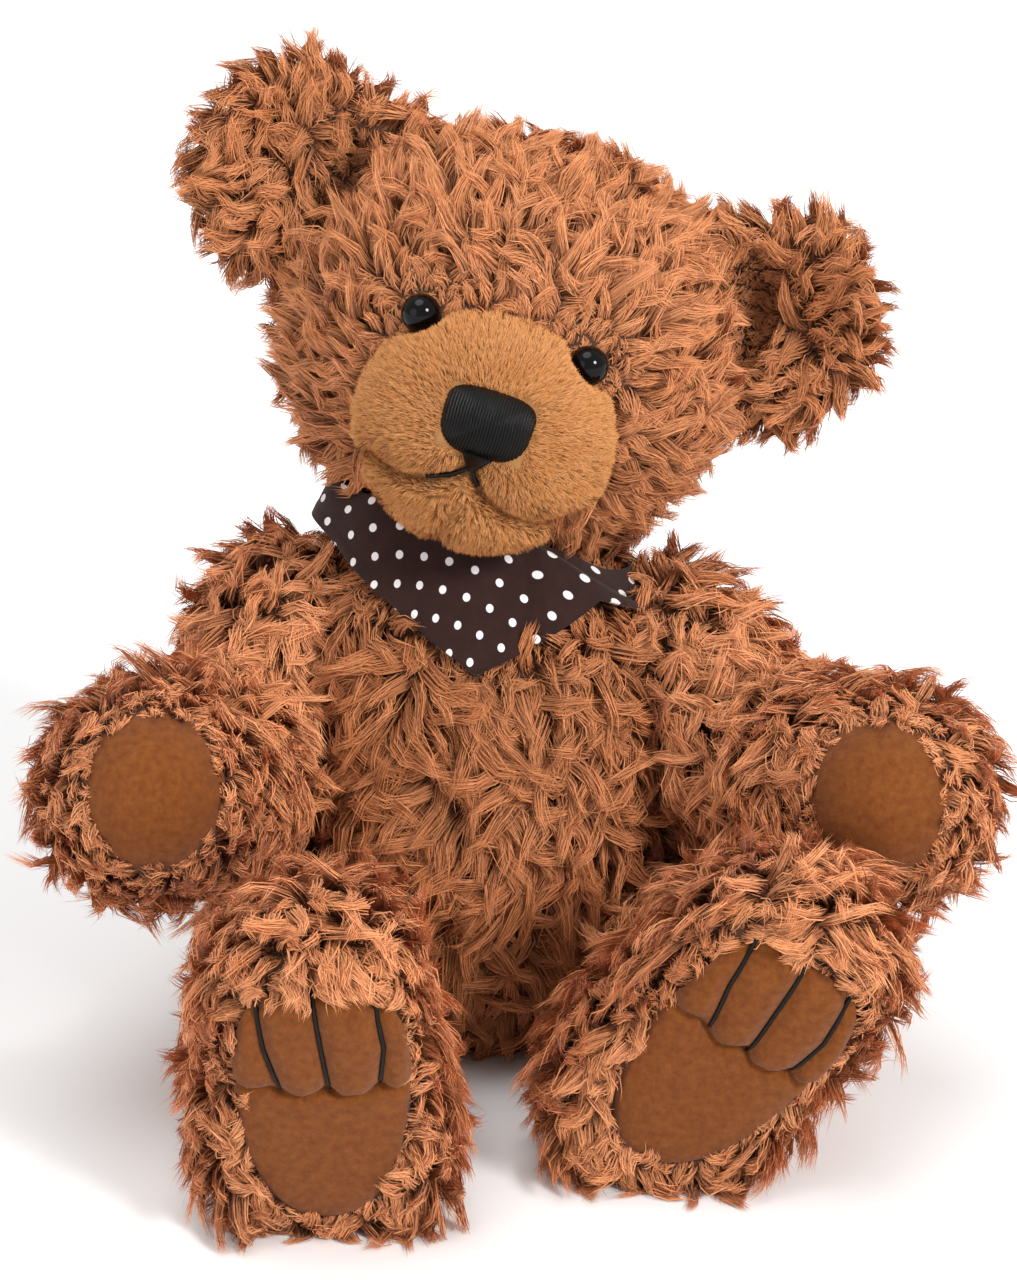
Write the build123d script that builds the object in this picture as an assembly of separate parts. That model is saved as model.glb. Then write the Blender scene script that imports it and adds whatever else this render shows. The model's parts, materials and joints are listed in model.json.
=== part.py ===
from build123d import *
from math import atan2, cos, pi, radians, sin, sqrt
import os

# Five-way jointed teddy bear with a spotted neckerchief, sitting. All sizes are in mm.
# +Z is up, the bear faces -Y, and +X is the bear's own left side.
# The origin lies on the floor under the middle of the bounding box.

SHIFT_X = -3.0
SHIFT_Y = 50.9

# Cloth and hardware shared by every joint
WALL = 2.4            # backing cloth with the dense foot of its pile
FILL_GAP = 0.2        # stuffing stands this far inside its cover
HALF_GAP = 0.15       # each body stops this far short of a joint plane
SEAM_GAP = 0.15       # open seam round an inset panel
BOLT_R = 2.5
BOLT_RUN = 0.05       # radial running clearance of a bolt in its discs
DISC_T = 3.0
DISC_BOTTOM = 2.7     # height of a disc's near face above the joint plane
WASHER_R = 7.5
WASHER_T = 1.2
NUT_AF = 8.0
NUT_H = 5.0
BOLT_HEAD_H = 3.5
NECK_DISC_R = 20.0
ARM_DISC_R = 14.0
HIP_DISC_R = 15.0

# Torso: balls joined by cones, given as (centre, radius)
SEAT_BALL = ((-5, -5, 44), 46)
BELLY_BALL = ((-7, -3, 75), 49)
CHEST_BALL = ((-9, -2, 104), 43)

# Head: two balls side by side, turned to look up and rolled towards the bear's left
HEAD_CENTRE = (0, 12, 193)
HEAD_ROLL = 17.3
HEAD_PITCH = 15.0
HEAD_R = 52.0
HEAD_HALF = 5.0       # half the distance between the two balls that make its width
NECK_DROP = 47.0      # head centre down to the neck plane
NECK_STUB_DROP = 14.0
NECK_STUB_R = 28.0

# Muzzle, nose and mouth, in head axes: right, forward, up
MUZZLE_HALF = 7.0
MUZZLE_FORWARD = 46.0
MUZZLE_UP = -20.4
MUZZLE_R = 26.3
NOSE_W = 24.0
NOSE_H = 17.0
NOSE_UP = -18.0
NOSE_T = 2.4
STITCH_T = 0.9
STITCH_W = 1.3

# Eyes
EYE_SIDES = (-24.0, 20.5)
EYE_UP = 2.6
EYE_R = 5.3
EYE_STEM_R = 1.6
EYE_STEM_L = 9.0
EYE_WASHER_R = 6.0
EYE_WASHER_T = 1.2

# Ears, in head axes
EAR_SIDES = (-69.0, 75.0)
EAR_UP = 28.0
EAR_BACK = -6.0
EAR_R = 25.0
EAR_T = 13.0
EAR_EDGE = 5.5
EAR_CUP_R = 34.0
EAR_CUP_DEPTH = 4.5

# Limbs: balls from the joint outwards, and the distance from the joint plane to the first ball
ARM_RIGHT = [((-60.5, -3, 115), 21), ((-73, -28, 86), 20.5), ((-95, -75, 96), 25)]
ARM_LEFT = [((44, -3, 107), 21), ((67, -26, 85), 20), ((101, -70, 92), 25)]
LEG_RIGHT = [((-56, -10, 29.5), 22.5), ((-50, -80, 24.5), 26), ((-47, -135, 25.5), 27), ((-47, -146, 68), 27)]
LEG_LEFT = [((46, -11, 30), 22.5), ((49, -62, 23.5), 25), ((42, -108, 24.5), 26), ((71, -116, 64), 26)]
ARM_SEAT = 13.0
HIP_SEAT = 13.0
ARM_RIGHT_OUT = (-0.98, -0.02, 0.2)
ARM_LEFT_OUT = (0.992, 0.0, 0.125)
HIP_RIGHT_OUT = (-0.966, -0.17, -0.19)
HIP_LEFT_OUT = (0.962, -0.16, -0.22)

# Paw pads and soles
PAW_RIGHT_FACE = (0.12, -0.92, 0.38)
PAW_LEFT_FACE = (-0.19, -0.92, 0.33)
PAW_PAD_W = 38.0
PAW_PAD_L = 45.0
SOLE_OUT = 15.0       # sole plane in front of the foot's centre line
SOLE_W = 42.0
SOLE_L = 76.0
CLAW_L = 19.0
CLAW_W = 1.2
CLAW_T = 0.7
CLAW_SIDES = (-12.0, 0.5, 12.0)

# Neckerchief
SCARF_INNER = 0.4
SCARF_OUTER = 1.8
SCARF_BAND = 12.0
SCARF_TIP = (5.2, -30.7)         # across and up from the middle of the neck
SCARF_RIGHT = (-44.0, 2.3)
SCARF_LEFT = (55.0, -10.7)
SCARF_TOP = 26.0
KNOT_R = 5.5

BIG = 400.0

GLOBAL_UP = Vector(0, 0, 1)
BACK = Vector(0, 1, 0)


def unit(x, y, z):
    return Vector(x, y, z).normalized()


# Head axes: forward, up and right as seen by someone facing the bear
HEAD_FORWARD = Vector(0, -cos(radians(HEAD_PITCH)), sin(radians(HEAD_PITCH)))
HEAD_LEVEL_UP = Vector(0, sin(radians(HEAD_PITCH)), cos(radians(HEAD_PITCH)))
HEAD_UP = Vector(1, 0, 0) * sin(radians(HEAD_ROLL)) + HEAD_LEVEL_UP * cos(radians(HEAD_ROLL))
HEAD_RIGHT = HEAD_UP.cross(HEAD_FORWARD).normalized()


def head_point(right, forward, up):
    return Vector(*HEAD_CENTRE) + HEAD_RIGHT * right + HEAD_FORWARD * forward + HEAD_UP * up


def head_plane(right, forward, up):
    """A plane facing out of the bear's face, X to its left side and Y up."""
    return Plane(origin=head_point(right, forward, up), x_dir=HEAD_RIGHT, z_dir=HEAD_FORWARD)


def joint_plane(ball, seat, out):
    normal = unit(*out)
    return Plane(origin=Vector(*ball[0]) - normal * seat, z_dir=normal)


NECK = Plane(origin=head_point(0, 0, -NECK_DROP), x_dir=HEAD_RIGHT, z_dir=HEAD_UP)
SHOULDER_RIGHT = joint_plane(ARM_RIGHT[0], ARM_SEAT, ARM_RIGHT_OUT)
SHOULDER_LEFT = joint_plane(ARM_LEFT[0], ARM_SEAT, ARM_LEFT_OUT)
HIP_RIGHT = joint_plane(LEG_RIGHT[0], HIP_SEAT, HIP_RIGHT_OUT)
HIP_LEFT = joint_plane(LEG_LEFT[0], HIP_SEAT, HIP_LEFT_OUT)
NECK_BALL = (tuple(NECK.origin - HEAD_UP * NECK_STUB_DROP), NECK_STUB_R)
TORSO = [SEAT_BALL, BELLY_BALL, CHEST_BALL, NECK_BALL]
TORSO_JOINTS = [
    (NECK, NECK_DISC_R),
    (SHOULDER_RIGHT, ARM_DISC_R),
    (SHOULDER_LEFT, ARM_DISC_R),
    (HIP_RIGHT, HIP_DISC_R),
    (HIP_LEFT, HIP_DISC_R),
]


def tapered(first, second, seam, grow=0.0):
    """The smallest convex solid round two balls: two caps joined by a cone.

    Its surface seam runs along the side that faces the seam direction.
    """
    start, r0 = Vector(*first[0]), first[1] + grow
    end, r1 = Vector(*second[0]), second[1] + grow
    span = end - start
    length = span.length
    lean = (r0 - r1) / length
    side = sqrt(1 - lean * lean)
    tilt = atan2(lean, side)
    low = (tilt - pi / 2) / 2
    high = (tilt + pi / 2) / 2
    outline = [
        ThreePointArc((0, -r0), (r0 * cos(low), r0 * sin(low)), (r0 * side, r0 * lean)),
        Line((r0 * side, r0 * lean), (r1 * side, length + r1 * lean)),
        ThreePointArc(
            (r1 * side, length + r1 * lean),
            (r1 * cos(high), length + r1 * sin(high)),
            (0, length + r1),
        ),
        Line((0, length + r1), (0, -r0)),
    ]
    solid = revolve(make_face(outline), Axis.Y)
    axis = span.normalized()
    across = (seam - axis * seam.dot(axis)).normalized()
    return Plane(origin=start, x_dir=across, z_dir=across.cross(axis)) * solid


def chain(balls, seam, grow=0.0):
    solid = tapered(balls[0], balls[1], seam, grow)
    for first, second in zip(balls[1:], balls[2:]):
        solid += tapered(first, second, seam, grow)
    return solid


def above(plane, height):
    """Everything on the outward side of a plane, as one large box."""
    return plane * Pos(0, 0, height + BIG / 2) * Box(BIG, BIG, BIG)


def below(plane, height):
    return plane * Pos(0, 0, height - BIG / 2) * Box(BIG, BIG, BIG)


def rod(plane, radius, start, end):
    """A cylinder on a plane's normal between two heights."""
    return plane * Pos(0, 0, (start + end) / 2) * Cylinder(radius, end - start)


def ring(plane, outer, inner, start, end):
    return rod(plane, outer, start, end) - rod(plane, inner, start - 1, end + 1)


def ball(centre, radius):
    return Pos(*centre) * Sphere(radius)


def head_ball(grow=0.0):
    left = (tuple(head_point(-HEAD_HALF, 0, 0)), HEAD_R)
    right = (tuple(head_point(HEAD_HALF, 0, 0)), HEAD_R)
    return tapered(left, right, HEAD_UP, grow)


def muzzle_ball(grow=0.0):
    left = (tuple(head_point(-MUZZLE_HALF, MUZZLE_FORWARD, MUZZLE_UP)), MUZZLE_R)
    right = (tuple(head_point(MUZZLE_HALF, MUZZLE_FORWARD, MUZZLE_UP)), MUZZLE_R)
    return tapered(left, right, HEAD_UP, grow)


def torso_solid(grow, gap):
    """The torso's body of cloth, stopped short of every joint plane and the floor."""
    solid = chain(TORSO, BACK, grow)
    for plane, _ in TORSO_JOINTS:
        solid -= above(plane, -gap)
    return solid - below(Plane.XY, gap - HALF_GAP)


def torso_cover():
    cover = torso_solid(0, HALF_GAP) - torso_solid(-WALL, HALF_GAP + WALL)
    for plane, _ in TORSO_JOINTS:
        cover -= rod(plane, BOLT_R + 0.7, -WALL - 4, 4)
    return cover


def torso_stuffing():
    inset = WALL + FILL_GAP
    fill = torso_solid(-inset, HALF_GAP + inset)
    for plane, disc_r in TORSO_JOINTS:
        fill -= rod(plane, disc_r + 0.5, -6.1, 4)
        fill -= rod(plane, WASHER_R + 1, -15, 4)
    return fill


def torso_disc(plane, radius):
    return ring(plane, radius, BOLT_R + BOLT_RUN, -DISC_BOTTOM - DISC_T, -DISC_BOTTOM)


def limb_disc(plane, radius):
    return ring(plane, radius, BOLT_R + BOLT_RUN, DISC_BOTTOM, DISC_BOTTOM + DISC_T)


def torso_washers():
    near = -DISC_BOTTOM - DISC_T - 0.1
    return [ring(plane, WASHER_R, BOLT_R + 0.2, near - WASHER_T, near) for plane, _ in TORSO_JOINTS]


def limb_washer(plane):
    near = DISC_BOTTOM + DISC_T + 0.1
    return ring(plane, WASHER_R, BOLT_R + 0.2, near, near + WASHER_T)


def joint_bolt(plane):
    near = DISC_BOTTOM + DISC_T + 0.1 + WASHER_T + 0.1
    head = plane * Pos(0, 0, near) * extrude(RegularPolygon(NUT_AF / 2, 6, major_radius=False), BOLT_HEAD_H)
    return rod(plane, BOLT_R, -13.4, near) + head


def lock_nut(plane):
    far = -DISC_BOTTOM - DISC_T - 0.1 - WASHER_T - 0.3
    body = plane * Pos(0, 0, far - NUT_H) * extrude(RegularPolygon(NUT_AF / 2, 6, major_radius=False), NUT_H)
    return body - rod(plane, BOLT_R + 0.02, far - NUT_H - 1, far + 1)


def limb_solid(balls, plane, grow, gap):
    solid = chain(balls, plane.z_dir, grow) - below(plane, gap)
    return solid - below(Plane.XY, gap - HALF_GAP)


def limb_pockets(fill, plane, disc_r):
    fill -= rod(plane, disc_r + 0.5, -1, 6.1)
    return fill - rod(plane, WASHER_R + 1, -1, 11.6)


def paw_prism(balls, face, grow):
    """An oval bar through the front of a paw, longest upwards."""
    normal = unit(*face)
    across = GLOBAL_UP.cross(normal) * -1
    plane = Plane(origin=Vector(*balls[-1][0]), x_dir=across.normalized(), z_dir=normal)
    return plane * extrude(Ellipse(PAW_PAD_W / 2 + grow, PAW_PAD_L / 2 + grow), 45)


def arm_parts(balls, plane, face):
    shell = limb_solid(balls, plane, 0, HALF_GAP) - limb_solid(balls, plane, -WALL, HALF_GAP + WALL)
    cover = shell - paw_prism(balls, face, SEAM_GAP) - rod(plane, BOLT_R + 0.7, -1, 4)
    pad = shell & paw_prism(balls, face, 0)
    inset = WALL + FILL_GAP
    fill = limb_pockets(limb_solid(balls, plane, -inset, HALF_GAP + inset), plane, ARM_DISC_R)
    return cover, pad, fill


def sole_plane(balls):
    """The sole's outer plane: origin at its middle, Y from heel to toe."""
    heel, toe = Vector(*balls[-2][0]), Vector(*balls[-1][0])
    along = (toe - heel).normalized()
    front = Vector(0, -1, -0.1)
    normal = (front - along * front.dot(along)).normalized()
    middle = (heel + toe) * 0.5 + normal * SOLE_OUT
    return Plane(origin=middle, x_dir=along.cross(normal), z_dir=normal)


def sole_shape(plane, grow, low, high):
    outline = SlotOverall(SOLE_L + 2 * grow, SOLE_W + 2 * grow, rotation=90)
    return plane * Pos(0, 0, low) * extrude(outline, high - low)


def leg_parts(balls, plane):
    sole = sole_plane(balls)
    inset = WALL + FILL_GAP
    outer = limb_solid(balls, plane, 0, HALF_GAP) - above(sole, 0)
    inner = limb_solid(balls, plane, -WALL, HALF_GAP + WALL) - above(sole, -WALL)
    shell = outer - inner
    cover = shell - sole_shape(sole, SEAM_GAP, -WALL - 1, 1) - rod(plane, BOLT_R + 0.7, -1, 4)
    pad = shell & sole_shape(sole, 0, -WALL - 1, 1)
    fill = limb_solid(balls, plane, -inset, HALF_GAP + inset) - above(sole, -inset)
    return cover, pad, limb_pockets(fill, plane, HIP_DISC_R)


def claw_stitches(balls):
    """Three raised rows of black thread down the toes."""
    sole = sole_plane(balls)
    rows = []
    for side in CLAW_SIDES:
        top = SOLE_L / 2 - 3 - abs(side) * 0.35
        bar = Box(CLAW_W, CLAW_L, CLAW_T, align=(Align.CENTER, Align.MAX, Align.MIN))
        rows.append(sole * Pos(side, top, 0) * bar)
    return rows


def eye_plane(side):
    """A plane on the head's surface at one eye, facing straight out of it."""
    half = HEAD_HALF if side > 0 else -HEAD_HALF
    out = side - half
    forward = sqrt(HEAD_R**2 - out**2 - EYE_UP**2)
    normal = (HEAD_RIGHT * out + HEAD_FORWARD * forward + HEAD_UP * EYE_UP).normalized()
    return Plane(origin=head_point(half, 0, 0) + normal * HEAD_R, z_dir=normal)


def eye(side):
    plane = eye_plane(side)
    dome = plane * Pos(0, 0, 0.1) * (Sphere(EYE_R) - Pos(0, 0, -BIG / 2) * Box(BIG, BIG, BIG))
    return dome + rod(plane, EYE_STEM_R, -EYE_STEM_L, 1)


def eye_washer(side):
    return ring(eye_plane(side), EYE_WASHER_R, EYE_STEM_R + 0.05, -3.2 - EYE_WASHER_T, -3.2)


def head_cover():
    cover = head_ball() - below(NECK, HALF_GAP)
    cover -= head_ball(-WALL) - below(NECK, HALF_GAP + WALL)
    cover -= muzzle_ball(-WALL)
    cover -= rod(NECK, BOLT_R + 0.7, -1, 5)
    for side in EYE_SIDES:
        cover -= rod(eye_plane(side), EYE_STEM_R + 0.1, -6, 3)
    return cover


def head_stuffing():
    inset = WALL + FILL_GAP
    fill = head_ball(-inset) - below(NECK, HALF_GAP + inset)
    fill += muzzle_ball(-inset)
    fill = limb_pockets(fill, NECK, NECK_DISC_R)
    for side in EYE_SIDES:
        fill -= rod(eye_plane(side), EYE_WASHER_R + 0.3, -4.8, 4)
        fill -= rod(eye_plane(side), EYE_STEM_R + 0.3, -EYE_STEM_L - 0.3, 4)
    return fill


def muzzle_cover():
    """The muzzle's short plush, dimpled at its edge where each eye presses into it."""
    cover = muzzle_ball() - muzzle_ball(-WALL) - head_ball(0.1)
    for side in EYE_SIDES:
        cover -= eye_plane(side) * Sphere(EYE_R + SEAM_GAP)
    return cover


def nose():
    pad = extrude(RectangleRounded(NOSE_W, NOSE_H, 6), 60)
    bar = head_plane(0, MUZZLE_FORWARD, NOSE_UP) * pad
    return bar & (muzzle_ball(NOSE_T) - muzzle_ball(0.03))


def mouth_stitching():
    """One thread down from the nose and two that curve away under it."""
    skin = muzzle_ball(STITCH_T) - muzzle_ball(0.03)
    start = NOSE_UP - NOSE_H / 2 - 0.6
    drop = 8.0
    stem = head_plane(0, MUZZLE_FORWARD, start) * Box(
        STITCH_W, drop, 60, align=(Align.CENTER, Align.MAX, Align.MIN)
    )
    threads = stem
    for side in (-1, 1):
        bar = Box(13, STITCH_W, 60, align=(Align.MIN, Align.CENTER, Align.MIN))
        turned = Rot(0, 0, -20 if side > 0 else 200) * bar
        threads += head_plane(0, MUZZLE_FORWARD, start - drop + 1) * turned
    return threads & skin


def ear(side):
    """A thick rounded flap, hollowed a little in front, sewn along the side of the head."""
    tip = Pos(side, EAR_UP) * Circle(EAR_R)
    root = Pos(side * 0.72, EAR_UP - 6) * Circle(EAR_R - 1)
    outline = make_hull(tip.edges() + root.edges())
    flap = extrude(outline, EAR_T / 2, both=True)
    flap = fillet(flap.edges(), EAR_EDGE)
    cup = Pos(side, EAR_UP, EAR_T / 2 + EAR_CUP_R - EAR_CUP_DEPTH) * Sphere(EAR_CUP_R)
    return head_plane(0, EAR_BACK, 0) * (flap - cup) - head_ball(0.1)


def neckerchief():
    """A folded triangle of cloth lying on the chest and tied behind the neck."""
    cloth = chain(TORSO, BACK, SCARF_OUTER) - chain(TORSO, BACK, SCARF_INNER)
    cloth -= above(NECK, -0.5)
    for plane, _ in TORSO_JOINTS[1:]:
        cloth -= above(plane, -0.5)
    band = above(NECK, -SCARF_BAND)
    top = [(SCARF_LEFT[0], SCARF_TOP), (SCARF_RIGHT[0], SCARF_TOP)]
    corners = [SCARF_RIGHT, SCARF_TIP, SCARF_LEFT, *top]
    front = Plane(origin=NECK.origin, x_dir=(1, 0, 0), z_dir=(0, -1, 0))
    bib = front * extrude(make_face(Polyline(*corners, close=True)), 120)
    knot = ball(tuple(NECK.from_local_coords((4, 35, -9))), KNOT_R)
    loose = chain(TORSO, BACK, SCARF_INNER)
    return (cloth & (band + bib)) + (knot - loose - above(NECK, -0.5))


def write(name, solids):
    """Writes one node, moved so that the origin is under the middle of the bear."""
    moved = [Pos(SHIFT_X, SHIFT_Y, 0) * solid for solid in solids]
    shape = moved[0] if len(moved) == 1 else Compound(children=[s for m in moved for s in m.solids()])
    shape.label = name
    export_step(shape, f"parts/{name}.step")
    return shape.bounding_box()


def build():
    nodes = {
        "torso_cover": [torso_cover()],
        "torso_stuffing": [torso_stuffing()],
        "neckerchief": [neckerchief()],
        "torso_neck_disc": [torso_disc(NECK, NECK_DISC_R)],
        "torso_shoulder_disc_right": [torso_disc(SHOULDER_RIGHT, ARM_DISC_R)],
        "torso_shoulder_disc_left": [torso_disc(SHOULDER_LEFT, ARM_DISC_R)],
        "torso_hip_disc_right": [torso_disc(HIP_RIGHT, HIP_DISC_R)],
        "torso_hip_disc_left": [torso_disc(HIP_LEFT, HIP_DISC_R)],
        "torso_washers": torso_washers(),
        "head_cover": [head_cover()],
        "head_stuffing": [head_stuffing()],
        "muzzle_cover": [muzzle_cover()],
        "ear_right": [ear(EAR_SIDES[0])],
        "ear_left": [ear(EAR_SIDES[1])],
        "nose": [nose()],
        "mouth_stitching": [mouth_stitching()],
        "eye_right": [eye(EYE_SIDES[0])],
        "eye_left": [eye(EYE_SIDES[1])],
        "eye_washers": [eye_washer(side) for side in EYE_SIDES],
        "head_neck_disc": [limb_disc(NECK, NECK_DISC_R)],
        "neck_bolt": [joint_bolt(NECK)],
        "neck_washer": [limb_washer(NECK)],
        "neck_lock_nut": [lock_nut(NECK)],
    }
    arms = (
        ("right", ARM_RIGHT, SHOULDER_RIGHT, PAW_RIGHT_FACE),
        ("left", ARM_LEFT, SHOULDER_LEFT, PAW_LEFT_FACE),
    )
    for side, balls, plane, face in arms:
        cover, pad, fill = arm_parts(balls, plane, face)
        nodes[f"arm_cover_{side}"] = [cover]
        nodes[f"paw_pad_{side}"] = [pad]
        nodes[f"arm_stuffing_{side}"] = [fill]
        nodes[f"arm_disc_{side}"] = [limb_disc(plane, ARM_DISC_R)]
        nodes[f"arm_bolt_{side}"] = [joint_bolt(plane)]
        nodes[f"arm_washer_{side}"] = [limb_washer(plane)]
        nodes[f"arm_lock_nut_{side}"] = [lock_nut(plane)]
    legs = (("right", LEG_RIGHT, HIP_RIGHT), ("left", LEG_LEFT, HIP_LEFT))
    for side, balls, plane in legs:
        cover, pad, fill = leg_parts(balls, plane)
        nodes[f"leg_cover_{side}"] = [cover]
        nodes[f"sole_pad_{side}"] = [pad]
        nodes[f"leg_stuffing_{side}"] = [fill]
        nodes[f"claw_stitching_{side}"] = claw_stitches(balls)
        nodes[f"leg_disc_{side}"] = [limb_disc(plane, HIP_DISC_R)]
        nodes[f"leg_bolt_{side}"] = [joint_bolt(plane)]
        nodes[f"leg_washer_{side}"] = [limb_washer(plane)]
        nodes[f"leg_lock_nut_{side}"] = [lock_nut(plane)]
    return nodes


os.makedirs("parts", exist_ok=True)
boxes = [write(name, solids) for name, solids in build().items()]
low = [min(tuple(box.min)[i] for box in boxes) for i in range(3)]
high = [max(tuple(box.max)[i] for box in boxes) for i in range(3)]
print("bounding box", low, high)
for label, plane in (
    ("neck", NECK),
    ("shoulder_right", SHOULDER_RIGHT),
    ("shoulder_left", SHOULDER_LEFT),
    ("hip_right", HIP_RIGHT),
    ("hip_left", HIP_LEFT),
):
    centre = plane.origin + Vector(SHIFT_X, SHIFT_Y, 0)
    print(label, tuple(round(v, 4) for v in centre), tuple(round(v, 6) for v in plane.z_dir))
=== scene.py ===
import bpy
import numpy as np
from math import cos, pi, radians, sin
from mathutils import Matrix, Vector
from mathutils.kdtree import KDTree
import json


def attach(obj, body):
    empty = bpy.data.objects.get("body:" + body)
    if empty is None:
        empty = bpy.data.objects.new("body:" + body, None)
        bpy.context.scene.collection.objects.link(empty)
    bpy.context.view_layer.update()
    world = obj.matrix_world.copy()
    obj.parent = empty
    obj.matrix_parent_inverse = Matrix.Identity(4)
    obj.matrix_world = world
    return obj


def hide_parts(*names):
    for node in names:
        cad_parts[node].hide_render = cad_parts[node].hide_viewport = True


# Jointed teddy bear, sitting: plush skins that carry strands of pile, a stitched face, suede pads
# and a spotted neckerchief. Lengths are in millimetres in the frame's axes, and meshes in metres.

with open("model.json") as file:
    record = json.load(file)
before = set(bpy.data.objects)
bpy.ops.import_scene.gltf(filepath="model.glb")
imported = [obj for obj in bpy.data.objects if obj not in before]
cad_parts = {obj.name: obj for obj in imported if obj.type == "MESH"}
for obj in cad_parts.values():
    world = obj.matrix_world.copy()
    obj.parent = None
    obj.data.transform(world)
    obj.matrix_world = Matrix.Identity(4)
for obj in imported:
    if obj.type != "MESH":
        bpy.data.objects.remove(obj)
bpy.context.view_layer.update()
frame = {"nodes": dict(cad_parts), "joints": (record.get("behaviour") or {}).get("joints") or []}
MM = 0.001

# ---- sizes

SHIFT = np.array((-3.0, 50.9, 0.0))

SEAT_BALL = ((-5, -5, 44), 46)
BELLY_BALL = ((-7, -3, 75), 49)
CHEST_BALL = ((-9, -2, 104), 43)
ARM_RIGHT = [((-60.5, -3, 115), 21), ((-73, -28, 86), 20.5), ((-95, -75, 96), 25)]
ARM_LEFT = [((44, -3, 107), 21), ((67, -26, 85), 20), ((101, -70, 92), 25)]
LEG_RIGHT = [((-56, -10, 29.5), 22.5), ((-50, -80, 24.5), 26), ((-47, -135, 25.5), 27), ((-47, -146, 68), 27)]
LEG_LEFT = [((46, -11, 30), 22.5), ((49, -62, 23.5), 25), ((42, -108, 24.5), 26), ((71, -116, 64), 26)]

HEAD_CENTRE = np.array((0.0, 12.0, 193.0)) + SHIFT
HEAD_ROLL = radians(17.3)
HEAD_PITCH = radians(15.0)
HEAD_R = 52.0
HEAD_HALF = 5.0
NECK_STUB = 14.0
NECK_STUB_R = 28.0

MUZZLE_CENTRE = (0.0, 46.0, -22.0)
MUZZLE_RADII = (33.5, 27.0, 30.5)

NOSE_UP = -19.0
NOSE_HALF_W = 12.4
NOSE_HALF_H = 9.2
NOSE_T = 4.6

EYES = {"right": -24.0, "left": 20.5}
EYE_UP = 2.6
EYE_R = 5.4
EYE_PROUD = 3.0

EARS = {"right": -69.0, "left": 75.0}
EAR_UP = 28.0
EAR_BACK = -6.0
EAR_R = 25.0
EAR_WIDTH = {"right": 1.0, "left": 0.84}
EAR_HEIGHT = 1.07

PAW_PAD = (19.0, 22.5)
PAW_FACE = {"right": (0.12, -0.92, 0.38), "left": (-0.19, -0.92, 0.33)}
SOLE_OUT = 15.0
SOLE_HALF_L = 38.0

# The neckerchief's lower outline, across and up from the middle of the neck
SCARF_RIGHT = (-44.0, 2.3)
SCARF_TIP = (5.2, -30.7)
SCARF_LEFT = (55.0, -10.7)
SCARF_BAND = 12.0
DOT_PITCH = 7.9
DOT_R = 1.18

CLOTH_T = 0.55
HEM_T = 0.5
END_T = 0.7
DRAPE_STEP = 0.9

# How near the pile comes to the floor, and how high and far back it reaches
FLOOR_GAP = 0.6
FUR_TOP = 277.0
FUR_BACK = 130.5

JOINT_GAP = 0.15
JOINT_BLEND = 3.0
TORSO_BLEND = 12.0
SKIN_STEP = 2.4
EAR_STEP = 1.8
MUZZLE_STEP = 1.1
FILL_STEP = 3.4
FILL_DEPTH = 4.2
LIMB_FACE_R = 60.0
# On the torso, in the order of PLANES
BARE_RADII = [15.0, 15.0, 17.0, 17.0, 21.0]
POCKET_RADII = [14, 14, 17, 17, 20]
FACE_START = 85
PIECE_FACES = 185000
FAR = 1e3


def unit(v):
    v = np.asarray(v, float)
    return v / np.maximum(np.linalg.norm(v, axis=-1, keepdims=True), 1e-9)


def clamp(x):
    return np.clip(x, 0, 1)


def bell(x):
    return np.exp(-(x**2))


def length_of(v):
    return np.linalg.norm(v, axis=1)


def across_normal(v, normal):
    """The part of vectors that is square to normals."""
    return v - np.einsum("ij,ij->i", v, normal)[:, None] * normal


def moved(balls):
    """A chain of balls in the frame's axes, as (centre, radius)."""
    return [(np.array(centre, float) + SHIFT, radius) for centre, radius in balls]


HEAD_FORWARD = np.array((0.0, -cos(HEAD_PITCH), sin(HEAD_PITCH)))
HEAD_UP = np.array((sin(HEAD_ROLL), sin(HEAD_PITCH) * cos(HEAD_ROLL), cos(HEAD_PITCH) * cos(HEAD_ROLL)))
HEAD_RIGHT = unit(np.cross(HEAD_UP, HEAD_FORWARD))
HEAD_AXES = np.array((HEAD_RIGHT, HEAD_FORWARD, HEAD_UP))


def head_point(right, forward, up):
    return HEAD_CENTRE + right * HEAD_RIGHT + forward * HEAD_FORWARD + up * HEAD_UP


def in_head(p):
    """Right, forward and up of points in head axes."""
    return (p - HEAD_CENTRE) @ HEAD_AXES.T


HEAD_BALLS = [(head_point(right, 0, 0), HEAD_R) for right in (-HEAD_HALF, HEAD_HALF)]


def joint_plane(child, inside):
    """A joint's centre and its axis, pointing to the side of the point inside the child."""
    joint = next(j for j in frame["joints"] if j["child"] == child)
    centre = np.array(joint["pos_m"]) / MM
    axis = unit(joint["axis"])
    return centre, axis * np.sign((inside - centre) @ axis)


LIMBS = {
    "arm_right": moved(ARM_RIGHT),
    "arm_left": moved(ARM_LEFT),
    "leg_right": moved(LEG_RIGHT),
    "leg_left": moved(LEG_LEFT),
}
PLANES = {name: joint_plane(name, balls[0][0]) for name, balls in LIMBS.items()}
PLANES["head"] = joint_plane("head", HEAD_CENTRE)
NECK_CENTRE, NECK_AXIS = PLANES["head"]
NECK_FRONT = unit(np.array((0, -1.0, 0)) + NECK_AXIS[1] * NECK_AXIS)
NECK_SIDE = -np.cross(NECK_FRONT, NECK_AXIS)
TORSO = moved([SEAT_BALL, BELLY_BALL, CHEST_BALL]) + [(NECK_CENTRE - NECK_STUB * NECK_AXIS, NECK_STUB_R)]

# ---- distance functions


def smooth_min(a, b, blend):
    h = np.maximum(blend - np.abs(a - b), 0) / blend
    return np.minimum(a, b) - h * h * blend / 4


def smooth_max(a, b, blend):
    return -smooth_min(-a, -b, blend)


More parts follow.
